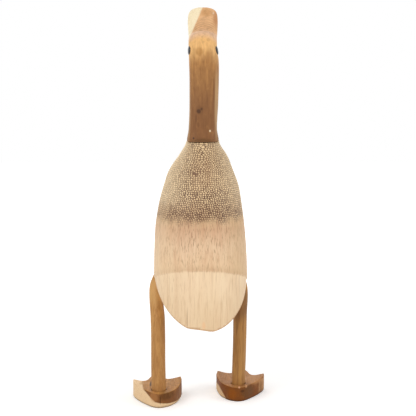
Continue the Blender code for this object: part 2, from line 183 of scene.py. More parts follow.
def colour(name, description, tint):
    return bpy.props.FloatVectorProperty(
        name=name, description=description, subtype="COLOR", size=3, min=0, max=1,
        default=linear(tint),
    )


def length(name, description, default):
    return bpy.props.FloatProperty(
        name=name, description=description, default=default, min=0, unit="LENGTH",
        precision=5,
    )


def share_of(name, description, default):
    return bpy.props.FloatProperty(
        name=name, description=description, default=default, min=0, max=1, subtype="FACTOR",
    )


def power(name, description, default):
    return bpy.props.FloatProperty(
        name=name, description=description, default=default, min=0, unit="POWER",
    )


# --- Curves and skins ---------------------------------------------------------------

def mix(a, b, share):
    return a + (b - a) * share


def place(sideways, forward, up):
    return np.array((sideways, -forward, up), float)


def leaning(lean):
    """Back and up vectors of level sections that are turned up at the back by lean degrees."""
    a = np.radians(np.asarray(lean, float))
    zero = np.zeros_like(a)
    back = np.stack((zero, np.cos(a), np.sin(a)), -1)
    up = np.stack((zero, -np.sin(a), np.cos(a)), -1)
    return back, up


def unit(vectors):
    return vectors / np.linalg.norm(vectors, axis=-1, keepdims=True)


def smooth(rows):
    """A smooth curve through rows of numbers: a function of the distance, and its length."""
    rows = np.array(rows, float)
    steps = np.linalg.norm(np.diff(rows[:, :3], axis=0), axis=1)
    places = np.concatenate(([0.0], np.cumsum(steps)))
    low = np.maximum(np.arange(len(rows)) - 1, 0)
    high = np.minimum(np.arange(len(rows)) + 1, len(rows) - 1)
    slopes = (rows[high] - rows[low]) / (places[high] - places[low])[:, None]

    def at(distance):
        distance = np.asarray(distance, float)
        i = np.clip(np.searchsorted(places, distance, "right") - 1, 0, len(rows) - 2)
        span = (places[i + 1] - places[i])[:, None]
        t = (distance - places[i])[:, None] / span
        return (
            (2 * t**3 - 3 * t**2 + 1) * rows[i] + (t**3 - 2 * t**2 + t) * span * slopes[i]
            + (3 * t**2 - 2 * t**3) * rows[i + 1] + (t**3 - t**2) * span * slopes[i + 1]
        )

    return at, places[-1]


def rings_of(centres, across, along, half_across, half_along, squareness, count):
    """Rounded outlines, one row each: squareness 2 is an ellipse, and more is boxier."""
    angle = np.linspace(0, 2 * math.pi, count, endpoint=False)
    power = (2 / np.asarray(squareness, float))[:, None]
    c, s = np.cos(angle)[None], np.sin(angle)[None]
    a = np.sign(c) * np.abs(c) ** power * np.asarray(half_across)[:, None]
    b = np.sign(s) * np.abs(s) ** power * np.asarray(half_along)[:, None]
    return centres[:, None] + across[:, None] * a[..., None] + along[:, None] * b[..., None]


class Skin:
    """Points and faces of a closed skin, added ring by ring."""

    def __init__(self):
        self.points = []
        self.faces = []
        self.kinds = []
        self.count = 0

    def add(self, points):
        points = np.asarray(points, float).reshape(-1, 3)
        start = self.count
        self.points.append(points)
        self.count += len(points)
        return np.arange(start, self.count)

    def face(self, corners, kind=0):
        corners = tuple(dict.fromkeys(corners))
        if len(corners) > 2:
            self.faces.append(corners)
            self.kinds.append(kind)

    def join(self, low, high, kind=0):
        for i in range(len(low)):
            j = (i + 1) % len(low)
            self.face((low[i], low[j], high[j], high[i]), kind)

    def close(self, ring, kind=0):
        points = np.concatenate(self.points)
        middle = self.add(points[ring].mean(0))[0]
        for i in range(len(ring)):
            self.face((ring[i], ring[(i + 1) % len(ring)], middle), kind)

    def loft(self, rings, kind=0):
        loops = [self.add(ring) for ring in rings]
        for low, high in zip(loops, loops[1:]):
            self.join(low, high, kind)
        self.close(loops[0], kind)
        self.close(loops[-1], kind)
        return loops


def duck_offset():
    """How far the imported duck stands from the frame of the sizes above, by its dowel."""
    low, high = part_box("neck_dowel")
    return np.array((low + high) / 2) - joint_centre() - place(NECK_SHIFT, 0, 0)


def make_piece(name, skin, materials, sharp=40, **values):
    """An object of a skin, with a value for each point under each further name."""
    points = np.concatenate(skin.points) + duck_offset()
    used = np.unique(np.concatenate([np.array(face) for face in skin.faces]))
    new = np.full(len(points), -1)
    new[used] = np.arange(len(used))
    faces = [tuple(int(new[corner]) for corner in face) for face in skin.faces]
    mesh = bpy.data.meshes.new(name)
    mesh.from_pydata(points[used].tolist(), [], faces)
    mesh.polygons.foreach_set("material_index", skin.kinds)
    for key, numbers in values.items():
        numbers = np.asarray(numbers, np.float32)
        padded = np.zeros((len(points), *numbers.shape[1:]), np.float32)
        padded[:len(numbers)] = numbers
        kind = ("FLOAT", "value") if numbers.ndim == 1 else ("FLOAT_VECTOR", "vector")
        attribute = mesh.attributes.new(key, kind[0], "POINT")
        attribute.data.foreach_set(kind[1], padded[used].ravel())
    for material in materials:
        mesh.materials.append(material)
    obj = bpy.data.objects.new(name, mesh)
    bpy.context.scene.collection.objects.link(obj)
    turn_out(mesh)
    mesh.shade_smooth()
    mesh.set_sharp_from_angle(angle=math.radians(sharp))
    return obj


def turn_out(mesh):
    """Turns all faces out, going by the volume that they enclose."""
    mesh.calc_loop_triangles()
    corners = np.array([triangle.vertices[:] for triangle in mesh.loop_triangles])
    co = np.array([vertex.co[:] for vertex in mesh.vertices])
    a, b, c = co[corners[:, 0]], co[corners[:, 1]], co[corners[:, 2]]
    if (a * np.cross(b, c)).sum() < 0:
        mesh.flip_normals()
    mesh.validate()
    mesh.update()


def dress(obj, node):
    """Lets a piece ride with the duck in the place of its solid."""
    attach(obj, "root")
    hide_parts(node)
    return obj


def cut_out(obj, cutters):
    """Cuts the cutters out of a piece for good and removes them."""
    for cutter in cutters:
        modifier = obj.modifiers.new(cutter.name, "BOOLEAN")
        modifier.operation = "DIFFERENCE"
        modifier.solver = "EXACT"
        modifier.object = cutter
    graph = bpy.context.evaluated_depsgraph_get()
    mesh = bpy.data.meshes.new_from_object(obj.evaluated_get(graph))
    old = obj.data
    obj.modifiers.clear()
    obj.data = mesh
    bpy.data.meshes.remove(old)
    for cutter in cutters:
        bpy.data.objects.remove(cutter)


def rough(points, size, depth, seed, stretch=1.0):
    """Uneven numbers between -depth and depth for points, coarse by size, longer upwards."""
    shift = Vector((seed * 7.3, seed * 3.1, seed * 5.7))
    scale = (1 / size, 1 / size, 1 / (size * stretch))
    return depth * np.array([
        noise.noise(Vector((p[0] * scale[0], p[1] * scale[1], p[2] * scale[2])) + shift)
        for p in points
    ])


def unevenness(grid, size, depth, seed, stretch=1.0):
    """How far each point of a grid is sunk by sanding or the knife, up to depth."""
    waves = rough(grid.reshape(-1, 3), size, 1, seed, stretch).reshape(grid.shape[:2])
    return depth * (waves * 0.5 + 0.5)


def bore(centres, back, radius, count, kind=0):
    """A skin of round sections around a row of centres, all with the same back vector."""
    across, along = (np.tile(vector, (len(centres), 1)) for vector in ((1.0, 0, 0), back))
    skin = Skin()
    round_ones = np.full(len(centres), 2.0)
    skin.loft(rings_of(centres, across, along, radius, radius, round_ones, count), kind)
    return skin


def outward(grid):
    """Unit normals of a grid of rings, pointing away from the middle of each ring."""
    around = np.roll(grid, -1, 1) - np.roll(grid, 1, 1)
    along = np.gradient(grid, axis=0)
    normal = unit(np.cross(around, along))
    away = grid - grid.mean(1, keepdims=True)
    return normal * np.sign((normal * away).sum(-1).mean())


# --- Body ---------------------------------------------------------------------------

AROUND_BODY = 448
AROUND_HOLLOW = 120
AROUND_DOWEL = 48
SCAR_ROW = 0.0007
FIBRE_ROW = 0.0030
SCAR_END = 0.1925
SCAR_SEED = 11
# Rows of rootlets, their scatter and their wear, as shares of the spacing
ROW_PITCH = 0.87
SCATTER_ALONG = 0.27
SCATTER_DOWN = 0.25
SCAR_WEAR = (0.84, 1.22)
# Size of the uneven patches that hand sanding leaves, and over how much the scars fade out
SANDING_PATCH = 0.022
SCAR_FADE = 0.006
# The sanded rim of the neck joint: how far in, and how quickly it ends
RIM_IN = 0.0006
RIM_LENGTH = 0.0004


def joint_centre():
    return place(0, NODE_FORWARD + NECK_AHEAD_OF_NODE, NODE_HEIGHT + BODY_RISE)


def root_section(distance, at):
    height, forward, lean, left, right, depth, squareness = at(distance).T
    back, _ = leaning(mix(JOINT_LEAN, NODE_LEAN, lean))
    left = mix(JOINT_LEFT, BODY_LEFT, left)
    right = mix(JOINT_RIGHT, BODY_RIGHT, right)
    centre = np.stack((
        (left - right) / 2,
        -(NODE_FORWARD + NECK_AHEAD_OF_NODE * forward),
        NODE_HEIGHT + BODY_RISE * height,
    ), -1)
    half_depth = mix(JOINT_HALF_DEPTH, BODY_HALF_DEPTH, depth)
    return centre, back, (left + right) / 2, half_depth, squareness


def culm_section(share):
    """Centres, back vectors and inward taper of the culm at shares of its length."""
    share = np.asarray(share, float)
    lean = mix(NODE_LEAN, CULM_END_LEAN, share)
    back, _ = leaning(lean)
    _, mean_up = leaning((NODE_LEAN + lean) / 2)
    node = place((BODY_LEFT - BODY_RIGHT) / 2, NODE_FORWARD, NODE_HEIGHT)
    return node - mean_up * (CULM_LENGTH * share)[..., None], back, CULM_TAPER * share


def tail_tip():
    centre, back, taper = culm_section(TAIL_LENGTH / CULM_LENGTH)
    return centre + back * (BODY_HALF_DEPTH - CULM_STEP_IN - taper)


def underside(sideways, forward):
    """Height of the saw cut, of its round up into the breast and of the trimmed tip."""
    tip = tail_tip()
    slope = math.radians(CUT_SLOPE)
    breast = NODE_FORWARD + NECK_AHEAD_OF_NODE / 2 + BODY_HALF_DEPTH + BREAST_CLEAR
    start = breast - BREAST_ROUND * (1 - math.sin(slope))
    flat = np.minimum(forward, start)
    up = tip[2] + (flat + tip[1]) * math.tan(slope)
    sine = np.clip((forward - start) / BREAST_ROUND + math.sin(slope), math.sin(slope), 1)
    turn = np.arcsin(sine)
    up = up + BREAST_ROUND * (math.cos(slope) - np.cos(turn))
    up = up + (sideways - tip[0]) * math.tan(math.radians(CUT_ROLL))
    centre, back, _ = culm_section((TAIL_LENGTH - TIP_TRIM) / CULM_LENGTH)
    corner = centre + back * (BODY_HALF_DEPTH - CULM_STEP_IN)
    roll = math.radians(TIP_ROLL)
    _, upward = leaning(mix(NODE_LEAN, CULM_END_LEAN, (TAIL_LENGTH - TIP_TRIM) / CULM_LENGTH))
    normal = upward * math.cos(roll) + np.array((1, 0, 0)) * math.sin(roll)
    trim = corner[2] - (
        (sideways - corner[0]) * normal[0] + (-forward - corner[1]) * normal[1]
    ) / normal[2]
    return np.maximum(up, trim)


def body_grid():
    """The body's rings from the neck joint down past the saw cut, and how far down each is."""
    at, whole = smooth(ROOT_PROFILE)
    fine = np.linspace(whole, 0, 900)
    centre, _, half_width, _, _ = root_section(fine, at)
    step = np.hypot(np.linalg.norm(np.diff(centre, axis=0), axis=1), np.diff(half_width))
    down = np.concatenate(([0.0], np.cumsum(step)))
    scars_to = np.interp(-SCAR_END, -centre[:, 2], down)
    rows = round((down[-1] - scars_to) / FIBRE_ROW)
    stops = np.concatenate((
        np.arange(0, scars_to, SCAR_ROW), np.linspace(scars_to, down[-1], rows),
    ))
    distance = np.interp(stops, down, fine)
    centre, back, half_width, half_depth, squareness = root_section(distance, at)
    centre[0] -= leaning(JOINT_LEAN)[1] * GLUE_GAP / 2

    first = CULM_STEP_HEIGHT / CULM_LENGTH
    share = np.concatenate((
        first * np.array((0.25, 0.5, 0.75)),
        np.linspace(first, 1, round(CULM_LENGTH / FIBRE_ROW)),
    ))
    ease = np.clip(share / first, 0, 1)
    ease = ease * ease * (3 - 2 * ease)
    culm_centre, culm_back, taper = culm_section(share)
    smaller = CULM_STEP_IN * ease + taper
    centre = np.concatenate((centre, culm_centre))
    back = np.concatenate((back, culm_back))
    half_width = np.concatenate((half_width, (BODY_LEFT + BODY_RIGHT) / 2 - smaller))
    half_depth = np.concatenate((half_depth, BODY_HALF_DEPTH - smaller))
    squareness = np.concatenate((squareness, np.full(len(share), 2.0)))
    across = np.tile((1.0, 0, 0), (len(centre), 1))
    grid = rings_of(centre, across, back, half_width, half_depth, squareness, AROUND_BODY)
    stops = np.concatenate((stops, stops[-1] + share * CULM_LENGTH))
    return grid, stops, half_width


def scar_field(grid, stops, radius, settings):
    """For each point of the root end, 1 in the middle of a rootlet's scar and 0 between."""
    rows = int(np.argmax(grid[:, 0, 2] < SCAR_END))
    random = np.random.default_rng(SCAR_SEED)
    spacing = settings.scar_spacing
    centres = []
    down = spacing * 0.3
    odd = 0
    while down < stops[rows]:
        count = max(8, round(2 * math.pi * np.interp(down, stops, radius) / spacing))
        scatter = random.uniform(-SCATTER_ALONG, SCATTER_ALONG, count)
        angle = (np.arange(count) + odd / 2 + scatter) / count
        at = down + random.uniform(-SCATTER_DOWN, SCATTER_DOWN, count) * spacing
        row = np.interp(at, stops, np.arange(len(stops)))
        row = np.clip(np.rint(row).astype(int), 0, rows)
        column = np.rint(angle * AROUND_BODY).astype(int) % AROUND_BODY
        centres += list(grid[row, column])
        down += spacing * ROW_PITCH
        odd = 1 - odd
    worn = random.uniform(*SCAR_WEAR, len(centres))
    tree = KDTree(len(centres))
    for i, point in enumerate(centres):
        tree.insert(point, i)
    tree.balance()
    field = np.zeros(grid.shape[:2])
    for i in range(rows + 1):
        for j in range(AROUND_BODY):
            (_, index, near), (_, _, far) = tree.find_n(grid[i, j], 2)
            field[i, j] = (far - near) / spacing * worn[index]
    return np.clip(field * 1.5, 0, 1), rows


def trim_columns(grid, edge):
    """Where each column of the grid meets the saw cut: row, last point, and the corner."""
    height = grid[..., 2] - underside(grid[..., 0], -grid[..., 1])
    last = np.zeros(AROUND_BODY, int)
    corner = np.zeros((AROUND_BODY, 3))
    for j in range(AROUND_BODY):
        i = int(np.argmax(height[:, j] < 0))
        share = height[i - 1, j] / (height[i - 1, j] - height[i, j])
        corner[j] = mix(grid[i - 1, j], grid[i, j], share)
        above = grid[i - 1, j] - grid[i, j]
        end = corner[j] + above / np.linalg.norm(above) * edge
        row = i
        while (grid[row - 1, j, 2] - end[2]) < 0.35 * abs(above[2]):
            row -= 1
        grid[row, j] = end
        last[j] = row
    return last, corner


def make_body_skin(settings):
    grid, stops, radius = body_grid()
    scar, rows = scar_field(grid, stops, radius, settings)
    normal = outward(grid)
    sunk = unevenness(grid, SANDING_PATCH, settings.sanding_waves, 3)
    fade = np.clip((stops[rows] - stops) / SCAR_FADE, 0, 1)[:, None]
    bump = scar * scar * (3 - 2 * scar)
    sunk = sunk + settings.scar_depth * (1 - bump) * fade
    top = np.exp(-stops / RIM_LENGTH)[:, None] * RIM_IN
    grid = grid - normal * (sunk + top)[..., None]

    last, corner = trim_columns(grid, settings.cut_edge)
    skin = Skin()
    skin.add(grid)
    for i in range(len(grid) - 1):
        for j in range(AROUND_BODY):
            k = (j + 1) % AROUND_BODY
            low, lower = min(i, last[j]), min(i + 1, last[j])
            far, further = min(i, last[k]), min(i + 1, last[k])
            skin.face((
                low * AROUND_BODY + j, lower * AROUND_BODY + j,
                further * AROUND_BODY + k, far * AROUND_BODY + k,
            ))
    skin.close(np.arange(AROUND_BODY))
    rim = last * AROUND_BODY + np.arange(AROUND_BODY)
    rim_points = grid.reshape(-1, 3)[rim]

    angle = np.linspace(0, 2 * math.pi, AROUND_BODY, endpoint=False)
    middle = corner.mean(0)

    def on_cut(points):
        points = points.copy()
        points[:, 2] = underside(points[:, 0], -points[:, 1])
        return points

    toward = middle - corner
    toward[:, 2] = 0
    inner = on_cut(corner + unit(toward) * settings.cut_edge)
    loops = [rim, skin.add(rim_points * 0.25 + corner * 0.5 + inner * 0.25), skin.add(inner)]
    for share in (0.03, 0.08, 0.15, 0.24, 0.34, 0.46, 0.6, 0.75, 0.9):
        loops.append(skin.add(on_cut(mix(inner, middle, share))))
    for i, (low, high) in enumerate(zip(loops, loops[1:])):
        skin.join(low, high, min(i, 1))
    skin.close(loops[-1], 1)

    around = np.stack((np.cos(angle), np.sin(angle)), -1) * 0.05
    grain = np.concatenate((
        np.broadcast_to(around[None], (len(grid), AROUND_BODY, 2)),
        np.broadcast_to(stops[:, None, None], (len(grid), AROUND_BODY, 1)),
    ), -1)
    rim_grain = np.concatenate((around, stops[last][:, None]), -1)
    grain = np.concatenate((grain.reshape(-1, 3), np.zeros((1, 3)), rim_grain))
    scar = np.concatenate((scar.ravel(), np.zeros(1)))
    burnished = np.zeros(len(grain))
    burnished[rim] = 1
    burnished[-AROUND_BODY:] = 1
    return skin, grain, scar, burnished


def make_hollow_skin():
    """What the culm's hollow takes away: a round bore with a domed end, along the culm."""
    node, back, _ = culm_section(0)
    down = culm_section(1)[0] - node
    down = down / np.linalg.norm(down)
    turn = np.linspace(0.1, 1, 10) * math.pi / 2
    radius = np.append(HOLLOW_RADIUS * np.sin(turn), HOLLOW_RADIUS)
    depth = np.append(HOLLOW_RADIUS / 2 * (1 - np.cos(turn)) - HOLLOW_DEPTH, CULM_LENGTH)
    return bore(node + down * depth[:, None], back, radius, AROUND_HOLLOW, 1)


def make_dowel_hole():
    """What the dowel's hole takes away from body and neck."""
    back, up = leaning(JOINT_LEAN)
    half = DOWEL_LENGTH / 2 + GLUE_GAP
    middle = joint_centre() + place(NECK_SHIFT, 0, 0)
    radius = np.full(2, DOWEL_RADIUS + GLUE_GAP)
    ends = middle + up * np.array(((-half,), (half,)))
    return make_piece("dowel_hole", bore(ends, back, radius, AROUND_DOWEL), [])


# --- Head and neck ------------------------------------------------------------------

AROUND_HEAD = 144
# Knife facets are this wide, and longer along the grain
HEAD_FACET = 0.011
HEAD_FACET_STRETCH = 2.5


def jaw_centre():
    return joint_centre() + place(0, -JAW_BACKWARD, NECK_LENGTH)


def head_rows():
    """Back and front points of each section, half width, shift and squareness."""
    joint = joint_centre()
    jaw = jaw_centre()
    back, up = leaning(JOINT_LEAN)
    seat = joint + up * (GLUE_GAP / 2)
    rows = [(
        *(seat + back * JOINT_HALF_DEPTH), *(seat - back * JOINT_HALF_DEPTH),
        (JOINT_LEFT + JOINT_RIGHT) / 2, (JOINT_LEFT - JOINT_RIGHT) / 2, ROOT_PROFILE[-1][-1],
    )]
    for share, slant, sway in NECK_PROFILE:
        centre = joint + place(0, -JAW_BACKWARD * share**1.5, NECK_LENGTH * share)
        half = mix(NECK_HALF_DEPTH, JAW_HALF_DEPTH, share**4)
        half = place(0, -half, -half * slant)
        shift = NECK_SHIFT + NECK_SWAY * sway
        half_width = mix(NECK_HALF_WIDTH, JAW_HALF_WIDTH, share**2)
        rows.append((*(centre + half), *(centre - half), half_width, shift, NECK_SQUARENESS))
    nape = jaw + place(0, -JAW_HALF_DEPTH, JAW_NAPE_RISE)
    throat = jaw + place(0, JAW_HALF_DEPTH, 0)
    shift = NECK_SHIFT + NECK_SWAY * JAW_SWAY_SHARE
    rows.append((*nape, *throat, JAW_HALF_WIDTH, shift, JAW_SQUARENESS))
    for top, under in CROWN_PROFILE:
        rows.append((
            *(jaw + place(0, *top)), *(jaw + place(0, *under)),
            CROWN_HALF_WIDTH, NECK_SHIFT, CROWN_SQUARENESS,
        ))
    slope = math.radians(BILL_ANGLE)
    ahead = place(0, math.cos(slope), math.sin(slope))
    under = place(0, math.sin(slope), -math.cos(slope))
    lean = math.radians(BILL_SLANT)
    root = jaw + place(0, *CROWN_PROFILE[-1][0])
    for share, stop, thickness, width in BILL_PROFILE:
        top = root + ahead * (BILL_LENGTH * share) + under * (BILL_STOP * stop)
        slant = under * math.cos(lean) + ahead * math.sin(lean)
        rows.append((
            *top, *(top + slant * (BILL_THICKNESS * thickness)),
            BILL_HALF_WIDTH * width, NECK_SHIFT, BILL_SQUARENESS,
        ))
    return rows


def make_head_skin(settings):
    at, whole = smooth(head_rows())
    tip = np.linspace(whole - 0.006, whole, 16)
    rows = at(np.concatenate((np.linspace(0, whole - 0.006, 190)[:-1], tip)))
    shift = np.stack((rows[:, 7], np.zeros(len(rows)), np.zeros(len(rows))), -1)
    back = rows[:, 0:3] * (0, 1, 1) + shift
    front = rows[:, 3:6] * (0, 1, 1) + shift
    along = back - front
    across = np.tile((1.0, 0, 0), (len(rows), 1))
    half = np.linalg.norm(along, axis=1) / 2
    grid = rings_of(
        (back + front) / 2, across, unit(along), rows[:, 6], half, rows[:, 8], AROUND_HEAD
    )
    normal = outward(grid)
    sunk = unevenness(grid, HEAD_FACET, settings.knife_marks, 5, HEAD_FACET_STRETCH)
    height = grid[..., 2] - grid[0, :, 2].mean()
    sunk = sunk + 0.0005 * np.exp(-np.abs(height) / 0.0004)
    skin = Skin()
    skin.loft(grid - normal * sunk[..., None])
    return skin


# --- Legs and feet ------------------------------------------------------------------

AROUND_LEG = 72
LEG_FACET = 0.008
LEG_FACET_STRETCH = 3.5
FOOT_FACET = 0.009
# Where the webs part, how far from there they start and are full, and the tips of the toes
WEB_ROOT = (0.0, 0.004)
WEB_START = 0.012
WEB_GROWS = 0.022
TOE_TIPS = ((-0.0222, 0.0560), (0.0055, 0.0680), (0.0300, 0.0430))
OUTLINE_STEP = 0.0009


def foot_top(forward):
    heel = min(ahead for _, ahead in HEEL_AND_INSIDE)
    toe = max(ahead for _, ahead in INNER_WEB)
    return mix(FOOT_HEEL_THICKNESS, FOOT_TOE_THICKNESS, (forward - heel) / (toe - heel))


def leg_grid(points, radius, grow, rows):
    """Rings of a whittled stick from its end in the foot to its end in the body."""
    ankle, knee, hip = points
    hip_up = float(underside(np.array(hip[0]), np.array(hip[1])))
    ankle_up = foot_top(0)
    inward = -math.copysign(math.tan(math.radians(HIP_TUCK)), hip[0])
    into_body = unit(place(inward, math.tan(math.radians(HIP_LEAN)), 1))
    hip_point = place(*hip, hip_up)
    height, way = SHIN
    path = [
        place(*ankle, ankle_up - FOOT_SOCKET),
        place(*ankle, ankle_up),
        place(*mix(np.array(ankle), np.array(knee), way), mix(ankle_up, hip_up, height)),
        place(*knee, mix(ankle_up, hip_up, KNEE_HEIGHT)),
        hip_point - into_body * BODY_SOCKET,
        hip_point,
        hip_point + into_body * BODY_SOCKET,
    ]
    at, whole = smooth(path)
    line = at(np.linspace(0, whole, rows))
    tangent = unit(np.gradient(line, axis=0))
    taper_from = mix(ankle_up, hip_up, KNEE_HEIGHT)
    share = np.clip((line[:, 2] - taper_from) / (line[-1, 2] - taper_from), 0, None)
    thick = radius * mix(1, LEG_TOP_SHARE, share) + grow
    along = unit(np.cross(tangent, (1.0, 0, 0)))
    across = unit(np.cross(along, tangent))
    line[0] -= tangent[0] * grow
    line[-1] += tangent[-1] * grow
    square = np.full(rows, LEG_SQUARENESS)
    return rings_of(line, across, along, thick, thick, square, AROUND_LEG)


def make_socket(points, radius):
    """What a leg's sockets take away from body and foot."""
    skin = Skin()
    skin.loft(leg_grid(points, radius, GLUE_GAP, 60))
    return make_piece("socket", skin, [])


def make_leg_skin(points, radius, seed, settings):
    grid = leg_grid(points, radius, 0, 190)
    sunk = unevenness(grid, LEG_FACET, settings.knife_marks, seed, LEG_FACET_STRETCH)
    skin = Skin()
    skin.loft(grid - outward(grid) * sunk[..., None])
    return skin


def foot_outline(steps):
    points = []
    for stretch in (HEEL_AND_INSIDE, INNER_WEB, OUTER_WEB):
        rows = [(outward_at, ahead, 0) for outward_at, ahead in stretch]
        at, whole = smooth(rows)
        count = round(whole / steps)
        points.append(at(np.linspace(0, whole, count, endpoint=False))[:, :2])
    return np.concatenate(points)


def web_dip(outward_at, forward):
    """How deep the webs lie between the three toes, as a share."""
    dip = np.zeros_like(outward_at)
    start = np.array(WEB_ROOT)
    toes = np.array(TOE_TIPS) - start
    angle = np.arctan2(outward_at - start[0], forward - start[1])
    edges = np.sort(np.arctan2(toes[:, 0], toes[:, 1]))
    for a, b in zip(edges, edges[1:]):
        inside = np.clip((angle - a) / (b - a), 0, 1)
        dip = np.maximum(dip, np.sin(inside * math.pi) ** 1.5)
    reach = np.hypot(outward_at - start[0], forward - start[1])
    return dip * np.clip((reach - WEB_START) / WEB_GROWS, 0, 1)


def make_foot_skin(ankle, side, seed, settings):
    outline = foot_outline(OUTLINE_STEP)
    middle = np.array((0, FOOT_MIDDLE))
    away = outline - middle
    reach = np.linalg.norm(away, axis=1, keepdims=True)

    def ring(inset, height):
        spot = middle + away * (1 - np.minimum(inset, reach * 0.995) / reach)
        up = height(spot[:, 0], spot[:, 1])
        return np.stack((ankle[0] + side * spot[:, 0], -(ankle[1] + spot[:, 1]), up), -1)

    def top(outward_at, forward):
        return foot_top(forward) - settings.web_depth * web_dip(outward_at, forward)

    edge = settings.foot_edge
    rings = []
    for inset, up in ((0.9, 0), (0.4, 0.25), (0, 1)):
        rings.append(ring(SOLE_INSET * inset, lambda o, f: o * 0 + SOLE_INSET * up))
    for share in (0.2, 0.4, 0.6, 0.8, 1.0):
        rings.append(ring(0, lambda o, f: mix(SOLE_INSET, top(o, f) - edge, share)))
    for turn in (22.5, 45, 67.5, 90):
        a = math.radians(turn)
        drop, inset = edge * (1 - math.sin(a)), edge * (1 - math.cos(a))
        rings.append(ring(inset, lambda o, f: top(o, f) - drop))
    rings = np.array(rings)
    sunk = unevenness(rings, FOOT_FACET, settings.knife_marks, seed)
    normal = outward(rings)
    normal[..., 2] = 0
    rings[1:] -= (normal * sunk[..., None])[1:]
    skin = Skin()
    loops = [skin.add(loop) for loop in rings]
    for share in (0.05, 0.11, 0.18, 0.26, 0.35, 0.45, 0.55, 0.65, 0.75, 0.85, 0.94):
        loops.append(skin.add(ring(edge + (reach - edge) * share, top)))
    for low, high in zip(loops, loops[1:]):
        skin.join(low, high)
    skin.close(loops[0])
    skin.close(loops[-1])
    return skin


# --- Materials ----------------------------------------------------------------------

# Blender's wave pattern has this period in metres at scale 1
WAVE = 2 * math.pi / 20
LACQUER_IOR = 1.5
# What these nodes do unless a call says otherwise
USUAL = {
    "MapRange": {"interpolation_type": "SMOOTHSTEP"}, "Mix": {"data_type": "RGBA"},
    "Math": {"operation": "MULTIPLY"}, "VectorMath": {"operation": "MULTIPLY"},
}
EVENLY = {"interpolation_type": "LINEAR"}
MINUS = {"operation": "SUBTRACT"}
DOT = {"operation": "DOT_PRODUCT"}
LENGTH = {"operation": "LENGTH"}

# Heights on the duck between which its wood changes
CULM_TONES = (0.085, 0.150)
TAIL_TO_NECK = (0.085, 0.285)
FIBRES_THICKEN = (0.150, 0.198)
SCARS_BEGIN = (0.1932, 0.2048)
BAND_RISES = (0.1860, 0.2055)
BAND_ENDS = (0.2270, 0.2060)
# Between these heights the painted light on the flanks grows
FLANK_LIGHT_GROWS = (0.200, 0.224)
NECK_WEAR = (0.262, 0.215)
# How far the bounds between two woods waver
NODE_WAVES = 0.0034
SCAR_PATCHES = 0.014
SCAR_STREAKS = 0.008
# Where a mark starts and is full, as shares of its radii
MARK_EDGE = (1.25, 0.55)
# How far the dark seam with painted shade around a leg's foot reaches, as a share of the leg's
# radius
SEAM_AND_SHADE_REACH = 1.12


def add_node(tree, kind, *values, out=None, stops=(), **settings):
    """Adds a node with its settings, and values or links for the inputs that it then shows."""
    node = tree.nodes.new("ShaderNode" + kind)
    for name, value in (USUAL.get(kind, {}) | settings).items():
        setattr(node, name, value)
    if values and isinstance(values[0], dict):
        pairs = [(node.inputs[name], value) for name, value in values[0].items()]
    else:
        pairs = zip([socket for socket in node.inputs if socket.enabled], values)
    for socket, value in pairs:
        if isinstance(value, bpy.types.NodeSocket):
            tree.links.new(value, socket)
        else:
            socket.default_value = (*linear(value), 1) if socket.type == "RGBA" else value
    for i, (position, tint) in enumerate(stops):
        elements = node.color_ramp.elements
        element = elements[i] if i < len(elements) else elements.new(position)
        element.position = position
        element.color = (*linear(tint), 1)
    shown = [socket for socket in node.outputs if socket.enabled]
    return node.outputs[out] if out else (shown or [None])[0]


def seen_directly(add):
    """1 for rays from the camera, a mirror or glass, which see floor and room as white."""
    path = ("Is Camera Ray", "Is Glossy Ray", "Is Transmission Ray")
    camera, glossy, through = [add("LightPath", out=name) for name in path]
    seen = add("Math", camera, glossy, operation="MAXIMUM")
    return add("Math", seen, through, operation="MAXIMUM")


def new_material(name):
    """An empty material, and the function that adds its nodes."""
    material = bpy.data.materials.new(name)
    material.use_nodes = True
    material.node_tree.nodes.clear()
    return material, partial(add_node, material.node_tree)


def finish_material(add, base, roughness, height, bump_depth, gleam=0.5):
    """Shader and output of a wood: bump_depth is the relief in metres for a height of 1."""
    bump = add("Bump", {"Strength": 1.0, "Distance": bump_depth, "Height": height})
    shader = add("BsdfPrincipled", {
        "Base Color": base, "Roughness": roughness, "IOR": LACQUER_IOR,
        "Specular IOR Level": gleam, "Normal": bump,
    })
    add("OutputMaterial", {"Surface": shader})


def spot(add):
    """The place on the duck in metres, in the frame of the sizes above."""
    return add("VectorMath", add("TexCoord", out="Object"), tuple(duck_offset()), **MINUS)


def grains(add, where, size, detail=3.0, roughness=0.55, distortion=0.0):
    """Uneven numbers around 0.5, in grains that are size millimetres large along each axis."""
    scaled = add("VectorMath", where, tuple(1 / (s * MM) for s in size))
    return add("TexNoise", {
        "Vector": scaled, "Scale": 1.0, "Detail": detail, "Roughness": roughness,
        "Distortion": distortion,
    })


def masks(add, *shares):
    """Where all of some shares hold at once."""
    total = shares[0]
    for share in shares[1:]:
        total = add("Math", total, share)
    return total


def wavering(add, bound, *waves):
    """A bound between two woods that wavers by noises, each with its reach in metres."""
    for noise_value, reach in waves:
        centred = add("Math", noise_value, 0.5, **MINUS)
        bound = add("Math", centred, reach, bound, operation="MULTIPLY_ADD")
    return bound


def stain(add, ground, *layers):
    """Colours laid over the ground one by one, each with its share."""
    for share, tint in layers:
        ground = add("Mix", share, ground, tint)
    return ground


def marks_and_painted_light(add, where, ground, marks):
    """Knots, cracks, worn spots, painted shadows and painted highlights: eggs with soft edges, in
    millimetres, colour and share.
    """
    for centre, radii, tint, share in marks:
        offset = add("VectorMath", where, tuple(c * MM for c in centre), **MINUS)
        scaled = add("VectorMath", offset, tuple(1 / (r * MM) for r in radii))
        inside = add("MapRange", add("VectorMath", scaled, **LENGTH), *MARK_EDGE, 0.0, share)
        ground = stain(add, ground, (inside, tint))
    return ground


